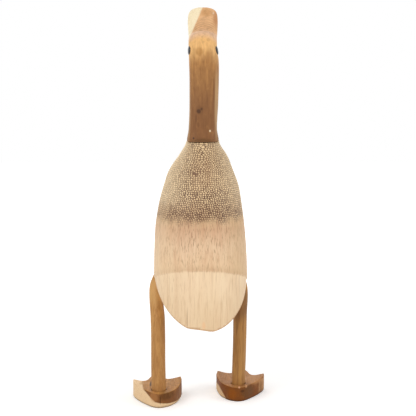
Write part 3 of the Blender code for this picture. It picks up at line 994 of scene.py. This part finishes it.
def bamboo_material(settings):
    """Root end and culm."""
    # Sanding leaves pale scars in dark skin, then bared fibres, and the satin lacquer gives
    # them a soft, broad gleam
    material, add = new_material("bamboo root, sanded and lacquered")
    where = spot(add)
    across = add("SeparateXYZ", where, out="X")
    up = add("SeparateXYZ", where, out="Z")
    grain = add("Attribute", attribute_name="grain", out="Vector")
    scar = add("Attribute", attribute_name="scar", out="Fac")
    rim = add("Attribute", attribute_name="rim", out="Fac")
    patch = grains(add, where, (14, 14, 20), 2.0)
    clump = grains(add, where, (4.5, 4.5, 4.5), 2.0, 0.6)
    # Real fibre bundles lie 0.4 mm apart, too fine for the render, so they are drawn at 1 mm
    streak = grains(add, grain, (1.0, 1.0, 9), 3.0, 0.6)
    thread = grains(add, grain, (1.9, 1.9, 30), 3.0, 0.6)
    broad = grains(add, grain, (7, 7, 50))

    ground = add("ValToRGB", add("MapRange", up, *TAIL_TO_NECK, **EVENLY), stops=(
        (0.30, settings.fibre_low), (0.44, settings.fibre_middle), (0.530, settings.fibre_high),
        (0.585, settings.scar_band), (0.66, settings.scar_light), (1.0, settings.scar_top),
    ))

    # The smooth culm below the node, with a darker ring of fibres above it
    node_up = leaning(NODE_LEAN)[1]
    node_at = float(np.dot(place(0, NODE_FORWARD, NODE_HEIGHT), node_up))
    over_node = add("Math", add("VectorMath", where, tuple(node_up), **DOT), node_at, **MINUS)
    over_node = wavering(add, over_node, (streak, NODE_WAVES), (patch, NODE_WAVES))
    is_culm = add("MapRange", over_node, 0.0006, -0.0022)
    ring = add("MapRange", over_node, 0.0075, 0.0010, 0.0, 0.16)
    culm = stain(add, settings.culm_low, (
        add("MapRange", up, *CULM_TONES), settings.culm_high,
    ))

    # Dark skin between the scars with painted shade in its gaps, and towards the flanks, the left
    # more, paler scars and lighter gaps: painted light where the gaps are hidden and lit
    edge = wavering(add, up, (patch, SCAR_PATCHES), (streak, SCAR_STREAKS))
    scarred = add("MapRange", edge, *SCARS_BEGIN)
    level = add("VectorMath", add("TexCoord", out="Normal"), (1, 1, 0))
    side = add("SeparateXYZ", add("VectorMath", level, operation="NORMALIZE"), out="X")
    worn = add(
        "Math", add("MapRange", side, 0.20, 1.0, 0.0, settings.left_flank_light),
        add("MapRange", side, -0.25, -1.0, 0.0, settings.right_flank_light), operation="ADD",
    )
    worn = masks(add, worn, add("MapRange", up, *FLANK_LIGHT_GROWS, 0.55, 1.0))
    pale = masks(add, add("MapRange", worn, 0.0, 0.4, 0.0, 0.92, **EVENLY), scarred)
    net = add("Math", clump, 0.2, scar, operation="MULTIPLY_ADD")
    net = masks(
        add, add("MapRange", net, 0.80, 0.36), scarred,
        add("MapRange", patch, 0.30, 0.66, 0.84, 1.0),
        add("MapRange", up, *NECK_WEAR, settings.upper_contrast, 1.0),
        add("Math", 1.0, worn, **MINUS),
    )
    band = masks(
        add, add("MapRange", up, *BAND_RISES, 0.0, 0.48),
        add("MapRange", up, *BAND_ENDS),
        add("MapRange", thread, 0.30, 0.62, 0.62, 1.0),
        add("MapRange", side, -0.30, -0.95, 1.0, 0.45),
    )

    # Lines of the bared fibres, and fainter ones along the culm
    fibre = add("Math", 1.0, add("Math", scarred, is_culm, operation="MAXIMUM"), **MINUS)
    thick = masks(add, fibre, add("MapRange", up, *FIBRES_THICKEN, 0.42, 0.95, **EVENLY))
    lines = add("MapRange", streak, 0.50, 0.70, 0.0, thick)
    pink = masks(add, fibre, add("MapRange", thread, 0.46, 0.68, 0.0, 0.42))
    faint = masks(add, is_culm, add("MapRange", thread, 0.48, 0.72, 0.0, 0.40))
    fine = masks(
        add, is_culm, add("MapRange", across, -0.002, 0.030, 0.20, 0.50),
        add("MapRange", streak, 0.50, 0.74),
    )
    # Fibres paler towards each flank by which way the surface faces: painted light
    right = masks(add, fibre, add("MapRange", side, -0.30, -0.95, 0.0, 0.40))
    left = masks(add, fibre, add("MapRange", side, 0.30, 0.95, 0.0, 0.25))
    ground = stain(
        add, ground, (ring, settings.fibre_dark), (is_culm, culm), (pale, settings.flank_light_tint),
        (band, settings.band_dark), (net, settings.scar_gap_skin_and_shade), (lines, settings.fibre_dark),
        (pink, settings.fibre_pink), (faint, settings.culm_streak), (fine, settings.culm_streak),
        (right, "#d3b283"), (left, settings.flank_light_tint),
    )
    tone = add("MapRange", broad, 0.3, 0.7, 0.0, 0.16)
    ground = add("Mix", tone, ground, settings.fibre_high, blend_type="MULTIPLY")
    ground = marks_and_painted_light(add, where, ground, (
        ((13.8, 50, 98), (0.8, 30, 14), settings.fibre_dark, 0.45),
        ((-3.6, 60, 93.5), (2.2, 30, 4.5), "#efb782", 0.45),
        ((-2.5, 40, 252), (15, 50, 22), settings.fibre_dark, 0.20),
    ))
    burnished = add("MapRange", rim, 0.35, 0.85, 0.0, 0.55)
    ground = stain(add, ground, (burnished, settings.cut_rim))

    relief = add("Math", streak, 0.6, masks(add, scar, scarred), operation="MULTIPLY_ADD")
    roughness = add("MapRange", streak, 0.3, 0.7, 0.46, 0.62)
    finish_material(add, ground, roughness, relief, 0.14 * MM)
    return material


def sawn_material(settings):
    """The oblique saw cut and the culm's hollow."""
    # Cut across, the culm shows pale, dull end grain with dots of fibre bundles, which
    # crowd towards the bark. The hollow's wall was never sanded and is dark, and deeper in it is
    # darkened further by painted shade
    material, add = new_material("bamboo end grain, sawn and sanded")
    where = spot(add)
    slope = math.radians(CUT_SLOPE)
    turned = add("VectorRotate", {"Vector": where, "Angle": slope}, rotation_type="X_AXIS")
    longer = add("VectorMath", turned, (1, 0.55, 1))
    dots = add("TexVoronoi", {"Vector": longer, "Scale": 1 / (1.7 * MM)}, out="Distance")
    dots = add("MapRange", dots, 0.36, 0.20)
    node, back, _ = culm_section(0)
    offset = add("VectorMath", where, tuple(node), **MINUS)
    aside = add("SeparateXYZ", offset, out="X")
    behind = add("VectorMath", offset, tuple(back), **DOT)
    far = add("VectorMath", add("CombineXYZ", aside, behind), **LENGTH)
    patch = grains(add, where, (10, 16, 16))
    fine = grains(add, where, (0.6, 0.6, 0.6))
    saw = add("TexWave", {
        "Vector": turned, "Scale": WAVE / (2.2 * MM), "Distortion": 3.0, "Detail": 2.0,
    }, bands_direction="Y", out="Fac")
    tilt = (-math.tan(math.radians(CUT_ROLL)), math.tan(slope), 1.0)
    # Deeper into the hollow its wall gets darker: painted shade over the unsanded wall's own dark
    # colour
    above = add("VectorMath", where, tilt, **DOT)
    above = add("Math", above, float(np.dot(tail_tip(), tilt)), **MINUS)
    inside = masks(
        add, add("MapRange", above, 0.0004, 0.0090, 0.0, 0.90),
        add("MapRange", far, 0.0215, 0.0195),
    )
    dense = add("MapRange", far, 0.018, 0.050, 0.30, 0.85)
    ground = stain(
        add, settings.cut_light,
        (add("MapRange", patch, 0.3, 0.7, 0.1, 0.6), settings.cut_dark),
        (masks(add, dots, dense), settings.cut_bundle),
        (masks(add, saw, 0.12), settings.cut_bundle), (inside, settings.hollow_wall_and_shade),
    )
    relief = add("Math", saw, 0.6, fine, operation="MULTIPLY_ADD")
    finish_material(add, ground, 0.62, relief, 0.15 * MM)
    return material


def hardwood(name, light, dark, grain, ramp=None, arcs=None, heel=None, sapwood=None,
             marks=(), contrast=0.42, mottling=0.0, gleam=0.3):
    """Head, dowel, legs and feet. grain is a fibre streak's size in mm along each axis."""
    # Knife-cut and oiled: long dark streaks in warm wood, and a gleam that is duller than
    # the body's. Real pores are 0.2 mm wide, and are drawn at 0.8 mm to show
    material, add = new_material(name)
    where = spot(add)
    height = add("SeparateXYZ", where, out="Z")
    fine = grains(add, where, grain, 4.0, 0.6)
    broad = grains(add, where, tuple(g * 4 for g in grain), 2.0, 0.5, 0.3)
    ground = light
    streaked = contrast
    if ramp:
        low, high, stops, sag, calm = ramp
        off = add("Math", add("SeparateXYZ", where, out="X"), NECK_SHIFT, **MINUS)
        off = add("Math", off, CROWN_HALF_WIDTH, operation="DIVIDE")
        up = add("Math", masks(add, off, off), sag, height, operation="MULTIPLY_ADD")
        ground = add("ValToRGB", add("MapRange", up, low, high, **EVENLY), stops=stops)
        streaked = add("MapRange", up, calm - 0.018, calm, contrast, contrast * 0.22)
    if heel:
        back, flank, sole_shadow = heel
        normal = add("TexCoord", out="Normal")
        turned = add("SeparateXYZ", normal, out="X")
        tint = stain(add, back, (add("MapRange", turned, -0.90, -0.96), flank))
        upright = add("SeparateXYZ", normal, out="Z")
        ground = stain(add, ground, (add("MapRange", upright, 0.85, 0.45), tint))
    ground = stain(
        add, ground,
        (masks(add, streaked, add("MapRange", broad, 0.40, 0.64, 0.0, 0.8)), dark),
        (masks(add, streaked, add("MapRange", fine, 0.48, 0.70)), dark),
    )
    if mottling:
        blotch = grains(add, where, (5, 5, 9), 3.0, 0.55, 0.4)
        ground = stain(
            add, ground, (add("MapRange", blotch, 0.48, 0.66, 0.0, mottling), dark),
            (add("MapRange", blotch, 0.46, 0.30, 0.0, mottling), light),
        )
    if arcs:
        pith, spacing, share, low, high = arcs
        bands = add("TexWave", {
            "Vector": add("VectorMath", where, pith, **MINUS), "Scale": WAVE / spacing,
            "Distortion": 0.9, "Detail": 2.0, "Detail Scale": 1.5,
        }, wave_type="RINGS", rings_direction="Z", out="Fac")
        bands = masks(
            add, bands, add("MapRange", height, low, low + 0.003, 0.0, share),
            add("MapRange", height, high, high - 0.012),
        )
        ground = stain(add, ground, (bands, dark))
    if sapwood:
        planes, soft, tint = sapwood
        reaches = [
            add("Math", add("VectorMath", where, normal, **DOT), at, **MINUS)
            for normal, at in planes
        ]
        far = reaches[0]
        for reach in reaches[1:]:
            far = add("Math", far, reach, operation="MAXIMUM")
        far = wavering(add, far, (fine, soft * 2))
        pale = stain(add, tint, (add("MapRange", fine, 0.45, 0.70, 0.0, 0.30), light))
        ground = stain(add, ground, (add("MapRange", far, -soft, soft), pale))
    ground = marks_and_painted_light(add, where, ground, marks)
    # A painted contact shadow along the bottom edge
    if heel:
        low = add("MapRange", height, 0.0026, 0.0004, 0.0, 0.60)
        ground = stain(add, ground, (low, sole_shadow))
    roughness = add("MapRange", fine, 0.3, 0.7, 0.48, 0.64)
    finish_material(add, ground, roughness, fine, 0.12 * MM, gleam)
    return material


def black_material():
    """The eyes."""
    # Black stain under lacquer on a turned plug: nearly black, with a clear small gleam
    material, add = new_material("black stained wooden plug, lacquered")
    fine = grains(add, spot(add), (1.2, 1.2, 4))
    finish_material(add, stain(add, "#17191c", (fine, "#2b2d30")), 0.28, fine, 0.03 * MM)
    return material


# --- Settings -----------------------------------------------------------------------

class DUCK_PG_body(bpy.types.PropertyGroup):
    scar_spacing: length("Scar spacing", "Distance between two rootlet scars", 0.0025)
    scar_depth: length("Scar depth", "How deep the root is worn between its scars", 0.00045)
    sanding_waves: length("Sanding waves", "Unevenness left by hand sanding", 0.0004)
    cut_edge: length("Cut edge", "Rounding of the saw cut's rim", 0.0007)
    upper_contrast: share_of("Upper contrast", "Darkness between the scars near the neck", 0.90)
    # The flanks' scars are made paler as painted light, the left more, where the gaps between
    # scars are hidden and lit
    left_flank_light: share_of("Sanding, left", "How far the left flank's scars are sanded off", 0.45)
    right_flank_light: share_of("Sanding, right", "How far the right flank's are sanded off", 0.27)
    scar_top: colour("Scars near the neck", "Wood of the scars at the top", "#e9ca9b")
    scar_light: colour("Scars", "Wood of the scars at mid height", "#f3d2a2")
    scar_band: colour("Scars at their lower end", "Wood between scars and fibres", "#ebcb9c")
    # Pale colour painted on the lit flanks, on scars and fibres: painted light
    flank_light_tint: colour("Sanded scars", "Paler scars of the sanded flanks", "#ffe6bc")
    # Dark skin between the scars, with painted shade in the gaps
    scar_gap_skin_and_shade: colour("Between the scars", "Dark skin left between the scars", "#532e15")
    band_dark: colour("Under the scars", "Darker wood where scars and fibres meet", "#a3714c")
    fibre_high: colour("Upper fibres", "Bared fibres just under the scars", "#d8b08a")
    fibre_middle: colour("Middle fibres", "Bared fibres at mid height", "#e9c8a2")
    fibre_low: colour("Lower fibres", "Bared fibres above the node", "#ecca9f")
    fibre_dark: colour("Fibre streaks", "Dark lines between the fibres", "#936543")
    fibre_pink: colour("Fibre tint", "Reddish lines between the fibres", "#cf9d78")
    culm_high: colour("Culm below the node", "Smooth culm, upper part", "#f6dab4")
    culm_low: colour("Culm at the tail", "Smooth culm, lower part", "#e9cba2")
    culm_streak: colour("Culm streaks", "Faint lines along the culm", "#c39a6c")
    cut_rim: colour("Rim of the saw cut", "Burnished edge of the cut", "#b07a48")
    cut_light: colour("Saw cut, light", "End grain of the culm's wall", "#f3d2a0")
    cut_dark: colour("Saw cut, dark", "Darker patches of the end grain", "#e3b57e")
    cut_bundle: colour("Fibre bundles", "Dots of the cut fibre bundles", "#8a5530")
    # The hollow's colour is the unsanded wall's own dark colour with painted shade
    hollow_wall_and_shade: colour("Hollow", "Inner wall of the culm, never sanded", "#5f3d22")


class DUCK_PG_head(bpy.types.PropertyGroup):
    knife_marks: length("Knife marks", "Depth of the carved facets", 0.0005)
    neck_low: colour("Lower neck", "Heartwood above the joint", "#885a33")
    neck_middle: colour("Middle of the neck", "Heartwood of the neck", "#8f6138")
    neck_high: colour("Upper neck", "Heartwood below the eyes", "#bd874d")
    # Crown and brow: the wood's colour with a painted highlight where the head turns to face up
    crown: colour("Crown", "Wood on top of the head", "#f2bd79")
    brow_highlight: colour("Brow", "Paler arc between crown and bill", "#f0c298")
    bill: colour("Bill", "Heartwood of the bill", "#edba87")
    # Neck edges: painted light on the neck's rounded back corners, stronger on the left
    edge: colour("Neck edges", "Paler wood along the neck's edges", "#cba576")
    dark: colour("Grain", "Dark grain lines", "#744a28")
    sapwood: colour("Sapwood", "Pale wood on the bill's left", "#ffeec8")


class DUCK_PG_legs(bpy.types.PropertyGroup):
    knife_marks: length("Knife marks", "Depth of the whittled facets", 0.0006)
    left_light: colour("Left leg", "Wood of the left leg", "#c49052")
    left_dark: colour("Left leg grain", "Dark grain of the left leg", "#96622f")
    right_light: colour("Right leg", "Wood of the right leg", "#b68447")
    right_dark: colour("Right leg grain", "Dark grain of the right leg", "#84552a")


class DUCK_PG_feet(bpy.types.PropertyGroup):
    knife_marks: length("Knife marks", "Depth of the carved facets", 0.0005)
    web_depth: length("Web depth", "How deep the webs lie between the toes", 0.0012)
    foot_edge: length("Edge", "Rounding of the upper edge", 0.0012)
    left_light: colour("Left foot", "Heartwood of the left foot", "#c18b4c")
    left_dark: colour("Left foot grain", "Dark grain of the left foot", "#7d5029")
    left_side: colour("Left heel", "Oiled end grain of the left heel", "#845530")
    right_light: colour("Right foot", "Heartwood of the right foot", "#b37d48")
    right_dark: colour("Right foot grain", "Dark grain of the right foot", "#744a28")
    right_side: colour("Right heel", "Oiled end grain of the right heel", "#80491e")
    right_flank: colour("Right flank", "Paler outer side of the right foot", "#b98a5a")
    left_sapwood: colour("Left sapwood", "Pale wood outside the left foot", "#f0cfa3")
    right_sapwood: colour("Right sapwood", "Pale wood inside the right foot", "#dfbc90")


class DUCK_PG_stage(bpy.types.PropertyGroup):
    camera_distance: length("Camera distance", "From the duck's middle to the camera", 1.39965)
    camera_height: length("Camera height", "Height of the camera above the floor", 0.35)
    camera_pitch: bpy.props.FloatProperty(
        name="Camera pitch", description="How far the camera looks down",
        default=math.radians(5.684), subtype="ANGLE",
    )
    key_power: power("Key light", "Power of the main soft lamp", 9.0)
    fill_power: power("Fill light", "Power of the fill lamp", 5.0)
    room_light: bpy.props.FloatProperty(
        name="Room light", description="Even light from all around", default=0.62, min=0
    )


# --- Operators ----------------------------------------------------------------------

EYE_HOLE = 1.06
FLOOR_REACH = 4.0
LIT_POINT = (0, 0, 0.2)
CAMERA_SENSOR = 36
CAMERA_LENS = 111.87
CAMERA_ASIDE = -0.0099


def repaint(node, material):
    """Gives a solid that is shown as it is its material."""
    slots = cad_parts[node].data.materials
    slots.clear()
    slots.append(material)


class DUCK_OT_body(bpy.types.Operator):
    """Build the bamboo root body with its rootlet scars, node and saw cut"""

    bl_idname = "duck.body"
    bl_label = "Bamboo Body"

    def execute(self, context):
        settings = context.scene.duck_body
        skin, grain, scar, rim = make_body_skin(settings)
        materials = [bamboo_material(settings), sawn_material(settings)]
        body = make_piece("bamboo_body", skin, materials, 40, grain=grain, scar=scar, rim=rim)
        cut_out(body, [
            make_piece("hollow", make_hollow_skin(), materials), make_dowel_hole(),
            make_socket(LEFT_LEG, LEFT_LEG_RADIUS), make_socket(RIGHT_LEG, RIGHT_LEG_RADIUS),
        ])
        dress(body, "body")
        return {"FINISHED"}


class DUCK_OT_head(bpy.types.Operator):
    """Build the carved head and neck, and finish the eyes and the dowel"""

    bl_idname = "duck.head"
    bl_label = "Head and Neck"

    def execute(self, context):
        settings = context.scene.duck_head
        dark = settings.dark
        black_knot = "#3d2415"
        # The crown and brow stops carry a painted highlight where the head turns to face up
        stops = (
            (0.003, "#69451f"), (0.024, settings.neck_low), (0.30, settings.neck_middle),
            (0.58, settings.neck_high), (0.69, settings.crown), (0.750, settings.crown),
            (0.790, settings.brow_highlight), (0.812, settings.brow_highlight), (0.835, settings.bill),
        )
        marks = (
            # Paler strips on the neck's rounded back corners: painted light, stronger on the left
            ((13.5, -4, 320), (2.6, 20, 40), settings.edge, 0.85),
            ((-17.5, -4, 320), (2.6, 20, 40), settings.edge, 0.60),
            ((1.2, -5, 317), (4.8, 6, 5.2), dark, 0.45),
            ((2, -5, 315.5), (2.5, 6, 2.6), black_knot, 0.75),
            ((-1, -5, 318), (1.4, 6, 1.6), black_knot, 0.60),
            ((5, -5, 307), (1.2, 6, 6), dark, 0.70),
            ((2.5, -5, 301), (1.6, 6, 3), dark, 0.50),
            ((-14.5, -6, 338.5), (1, 8, 17), dark, 0.55),
            ((-7, -5, 330), (0.9, 8, 12), dark, 0.35),
            ((-10.2, -5, 294.2), (1.1, 5, 1.4), "#f0d6ae", 0.9),
            ((7.8, -5, 286.2), (1, 6, 1.4), black_knot, 0.9),
            ((-16.5, -35, 420.5), (3.6, 30, 13), "#a8683a", 0.55),
            ((-6.2, -40, 424.5), (8, 30, 6), "#bd8446", 0.50),
            # A painted highlight on the bill
            ((-14, -35, 423.5), (1.4, 30, 2.2), "#f6d6b2", 0.65),
            ((1.5, -5, 380), (4.5, 20, 5), "#a8702f", 0.45),
            ((-8, -5, 374), (4, 20, 7), "#a26c38", 0.35),
        )
        wood = hardwood(
            "carved hardwood, sanded and oiled", settings.neck_high, dark, (0.9, 0.9, 14),
            ramp=(0.284, 0.430, stops, 0.006, 0.392),
            arcs=((-0.0054, -0.0195, 0), 0.0023, 0.36, 0.4005, 0.420),
            sapwood=((((0.9243, 0.0, 0.3817), 0.1622),), 0.9 * MM, settings.sapwood),
            marks=marks, contrast=0.38, mottling=0.22,
        )
        head = make_piece("carved_head", make_head_skin(settings), [wood], 50)
        cutters = [make_dowel_hole()]
        black = black_material()
        for name in ("eye_left", "eye_right"):
            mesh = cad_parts[name].data.copy()
            middle = sum(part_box(name), Vector()) / 2
            for vertex in mesh.vertices:
                vertex.co = middle + (vertex.co - middle) * EYE_HOLE
            cutters.append(bpy.data.objects.new(name + "_hole", mesh))
            context.scene.collection.objects.link(cutters[-1])
            repaint(name, black)
        cut_out(head, cutters)
        dress(head, "head_and_neck")
        repaint("neck_dowel", hardwood(
            "turned dowel, bare wood", "#cdb38a", "#a98a60", (0.5, 0.5, 12),
        ))
        return {"FINISHED"}


class DUCK_OT_legs(bpy.types.Operator):
    """Build the two whittled legs"""

    bl_idname = "duck.legs"
    bl_label = "Legs"

    def execute(self, context):
        settings = context.scene.duck_legs
        left_marks = (
            ((49.5, 0, 120), (12, 30, 18), "#dcae6e", 0.50),
            ((45.2, 27, 30), (12, 30, 30), settings.left_dark, 0.22),
        )
        # The top of the right leg is darkened: painted shadow of the body
        right_marks = (
            ((-42.7, 0, 105), (12, 30, 19), "#6f4a2a", 0.62),
            ((-40, 0, 90), (2, 20, 16), "#6f4a2a", 0.40),
        )
        for side, points, radius, marks, seed in (
            ("left", LEFT_LEG, LEFT_LEG_RADIUS, left_marks, 2),
            ("right", RIGHT_LEG, RIGHT_LEG_RADIUS, right_marks, 9),
        ):
            light, dark = (getattr(settings, f"{side}_{tone}") for tone in ("light", "dark"))
            wood = hardwood(
                f"whittled hardwood, {side} leg", light, dark, (0.8, 0.8, 14),
                marks=marks, contrast=0.5,
            )
            skin = make_leg_skin(points, radius, seed, settings)
            leg = make_piece(f"whittled_leg_{side}", skin, [wood], 60)
            dress(leg, f"leg_{side}")
        return {"FINISHED"}


class DUCK_OT_feet(bpy.types.Operator):
    """Build the two carved webbed feet"""

    bl_idname = "duck.feet"
    bl_label = "Feet"

    def execute(self, context):
        settings = context.scene.duck_feet
        # Colour of cracks and dark slits, also used for the painted contact shadow along the
        # soles
        crack_and_sole_shadow = "#3c2413"
        left_marks = (
            # A dark slit along the outer toe
            ((54.8, 1.5, 16.8), (1.5, 15, 4), crack_and_sole_shadow, 0.85),
            ((49.5, 40, 11.5), (5, 16, 5.5), "#b37c4a", 0.60),
            ((36.2, 40, 12.5), (9, 20, 4.6), "#442a12", 0.42),
            ((64.8, 2.4, 17.2), (3, 6, 4), "#c39a68", 0.55),
            ((42.9, 46, 8.5), (0.7, 6, 4.5), crack_and_sole_shadow, 0.60),
        )
        right_marks = (
            ((-59, -20, 16.8), (11, 22, 4), "#c8925e", 0.60),
            ((-52, 8, 9), (8.5, 20, 7.5), "#5e452b", 0.50),
            ((-34.5, 12, 8), (5.5, 20, 6.5), "#9c5716", 0.45),
            ((-45.6, 15, 11.3), (2.4, 8, 1.6), crack_and_sole_shadow, 0.55),
            ((-42.1, 17, 15.8), (1.2, 6, 1.2), "#eab78f", 0.70),
            ((-49.9, 11, 15.3), (1.2, 6, 1.2), "#dfa878", 0.60),
        )
        left_planes = (((0.626, 0.04, -0.780), 0.0273), ((0.168, 0, -0.986), 0.0019))
        right_planes = (((0.890, 0.125, -0.439), -0.0242),)
        for name, side, points, radius, flank, planes, marks, seed in (
            ("left", 1, LEFT_LEG, LEFT_LEG_RADIUS, settings.left_side, left_planes,
             left_marks, 4),
            ("right", -1, RIGHT_LEG, RIGHT_LEG_RADIUS, settings.right_flank, right_planes,
             right_marks, 8),
        ):
            light, dark, back, pale = (
                getattr(settings, f"{name}_{tone}")
                for tone in ("light", "dark", "side", "sapwood")
            )
            ankle = place(*points[0], foot_top(0))
            # A dark seam where the leg stands in the foot, widened into painted shade in the
            # corner around it
            reach = radius * SEAM_AND_SHADE_REACH
            seam_and_shade = (tuple(ankle / MM), (reach / MM, reach / MM, 4), "#4a2e1a", 0.8)
            wood = hardwood(
                f"carved hardwood, {name} foot", light, dark, (0.9, 14, 0.9),
                heel=(back, flank, crack_and_sole_shadow), sapwood=(planes, 0.6 * MM, pale),
                marks=(seam_and_shade, *marks), contrast=0.36, mottling=0.30, gleam=0.08,
            )
            skin = make_foot_skin(points[0], side, seed, settings)
            foot = make_piece(f"webbed_foot_{name}", skin, [wood], 45)
            cut_out(foot, [make_socket(points, radius)])
            dress(foot, f"foot_{name}")
        return {"FINISHED"}


class DUCK_OT_stage(bpy.types.Operator):
    """Build the pale floor, the soft studio light and the camera"""

    bl_idname = "duck.stage"
    bl_label = "Stage"

    def execute(self, context):
        settings = context.scene.duck_stage
        scene = context.scene
        scene.view_settings.view_transform = "Standard"

        # Matt white paint: no gleam, and a soft pale shadow under the feet
        material, add = new_material("white painted studio floor")
        where = add("TexCoord", out="Object")
        base = stain(add, "#f0f0f0", (grains(add, where, (300, 300, 300)), "#f4f4f4"))
        away = add("VectorMath", where, **LENGTH)
        glow = masks(
            add, seen_directly(add), add("MapRange", away, 0.15, 1.2, 0.30, 0.7)
        )
        both = add(
            "AddShader", add("BsdfDiffuse", base), add("Emission", "#ffffff", glow)
        )
        add("OutputMaterial", both)
        mesh = bpy.data.meshes.new("floor")
        corners = [(x * FLOOR_REACH, y * FLOOR_REACH, 0) for x, y in (
            (-1, -1), (1, -1), (1, 1), (-1, 1),
        )]
        mesh.from_pydata(corners, [], [(0, 1, 2, 3)])
        mesh.materials.append(material)
        floor = bpy.data.objects.new("floor", mesh)
        scene.collection.objects.link(floor)

        scene.world = bpy.data.worlds.new("studio")
        scene.world.use_nodes = True
        scene.world.node_tree.nodes.clear()
        add = partial(add_node, scene.world.node_tree)
        strength = add("MapRange", seen_directly(add), 0, 1, settings.room_light, 1.0, **EVENLY)
        add("OutputWorld", add("Background", "#ffffff", strength))

        for name, at, size, power in (
            ("key", (0.9, 1.2, 1.1), 0.9, settings.key_power),
            ("fill", (-1.3, 0.5, 0.8), 0.9, settings.fill_power),
            ("front", (0.2, -1.5, 0.9), 1.2, settings.fill_power),
        ):
            lamp = bpy.data.lights.new(name, "AREA")
            lamp.shape = "DISK"
            lamp.size = size
            lamp.energy = power
            obj = bpy.data.objects.new(name, lamp)
            obj.location = at
            toward = Vector(LIT_POINT) - obj.location
            obj.rotation_euler = toward.to_track_quat("-Z", "Y").to_euler()
            scene.collection.objects.link(obj)

        data = bpy.data.cameras.new("camera")
        data.sensor_width = CAMERA_SENSOR
        data.lens = CAMERA_LENS
        camera = bpy.data.objects.new("camera", data)
        camera.location = (
            CAMERA_ASIDE, settings.camera_distance, settings.camera_height,
        )
        camera.rotation_euler = (math.pi / 2 - settings.camera_pitch, 0, math.pi)
        scene.collection.objects.link(camera)
        scene.camera = camera
        return {"FINISHED"}


class DUCK_PT_panel(bpy.types.Panel):
    bl_label = "Bamboo Root Duck"
    bl_idname = "DUCK_PT_panel"
    bl_space_type = "VIEW_3D"
    bl_region_type = "UI"
    bl_category = "Duck"

    def draw(self, context):
        for name, operator in PARTS:
            box = self.layout.box()
            box.operator(operator.bl_idname)
            settings = getattr(context.scene, name)
            for key in settings.__annotations__:
                box.prop(settings, key)


PARTS = (
    ("duck_body", DUCK_OT_body),
    ("duck_head", DUCK_OT_head),
    ("duck_legs", DUCK_OT_legs),
    ("duck_feet", DUCK_OT_feet),
    ("duck_stage", DUCK_OT_stage),
)
SETTINGS = (DUCK_PG_body, DUCK_PG_head, DUCK_PG_legs, DUCK_PG_feet, DUCK_PG_stage)


def register():
    for (name, operator), group in zip(PARTS, SETTINGS):
        bpy.utils.register_class(group)
        bpy.utils.register_class(operator)
        setattr(bpy.types.Scene, name, bpy.props.PointerProperty(type=group))
    bpy.utils.register_class(DUCK_PT_panel)


def unregister():
    bpy.utils.unregister_class(DUCK_PT_panel)
    for (name, operator), group in zip(PARTS, SETTINGS):
        delattr(bpy.types.Scene, name)
        bpy.utils.unregister_class(operator)
        bpy.utils.unregister_class(group)


def main():
    register()
    bpy.ops.duck.body()
    bpy.ops.duck.head()
    bpy.ops.duck.legs()
    bpy.ops.duck.feet()
    bpy.ops.duck.stage()


if __name__ == "__main__":
    main()
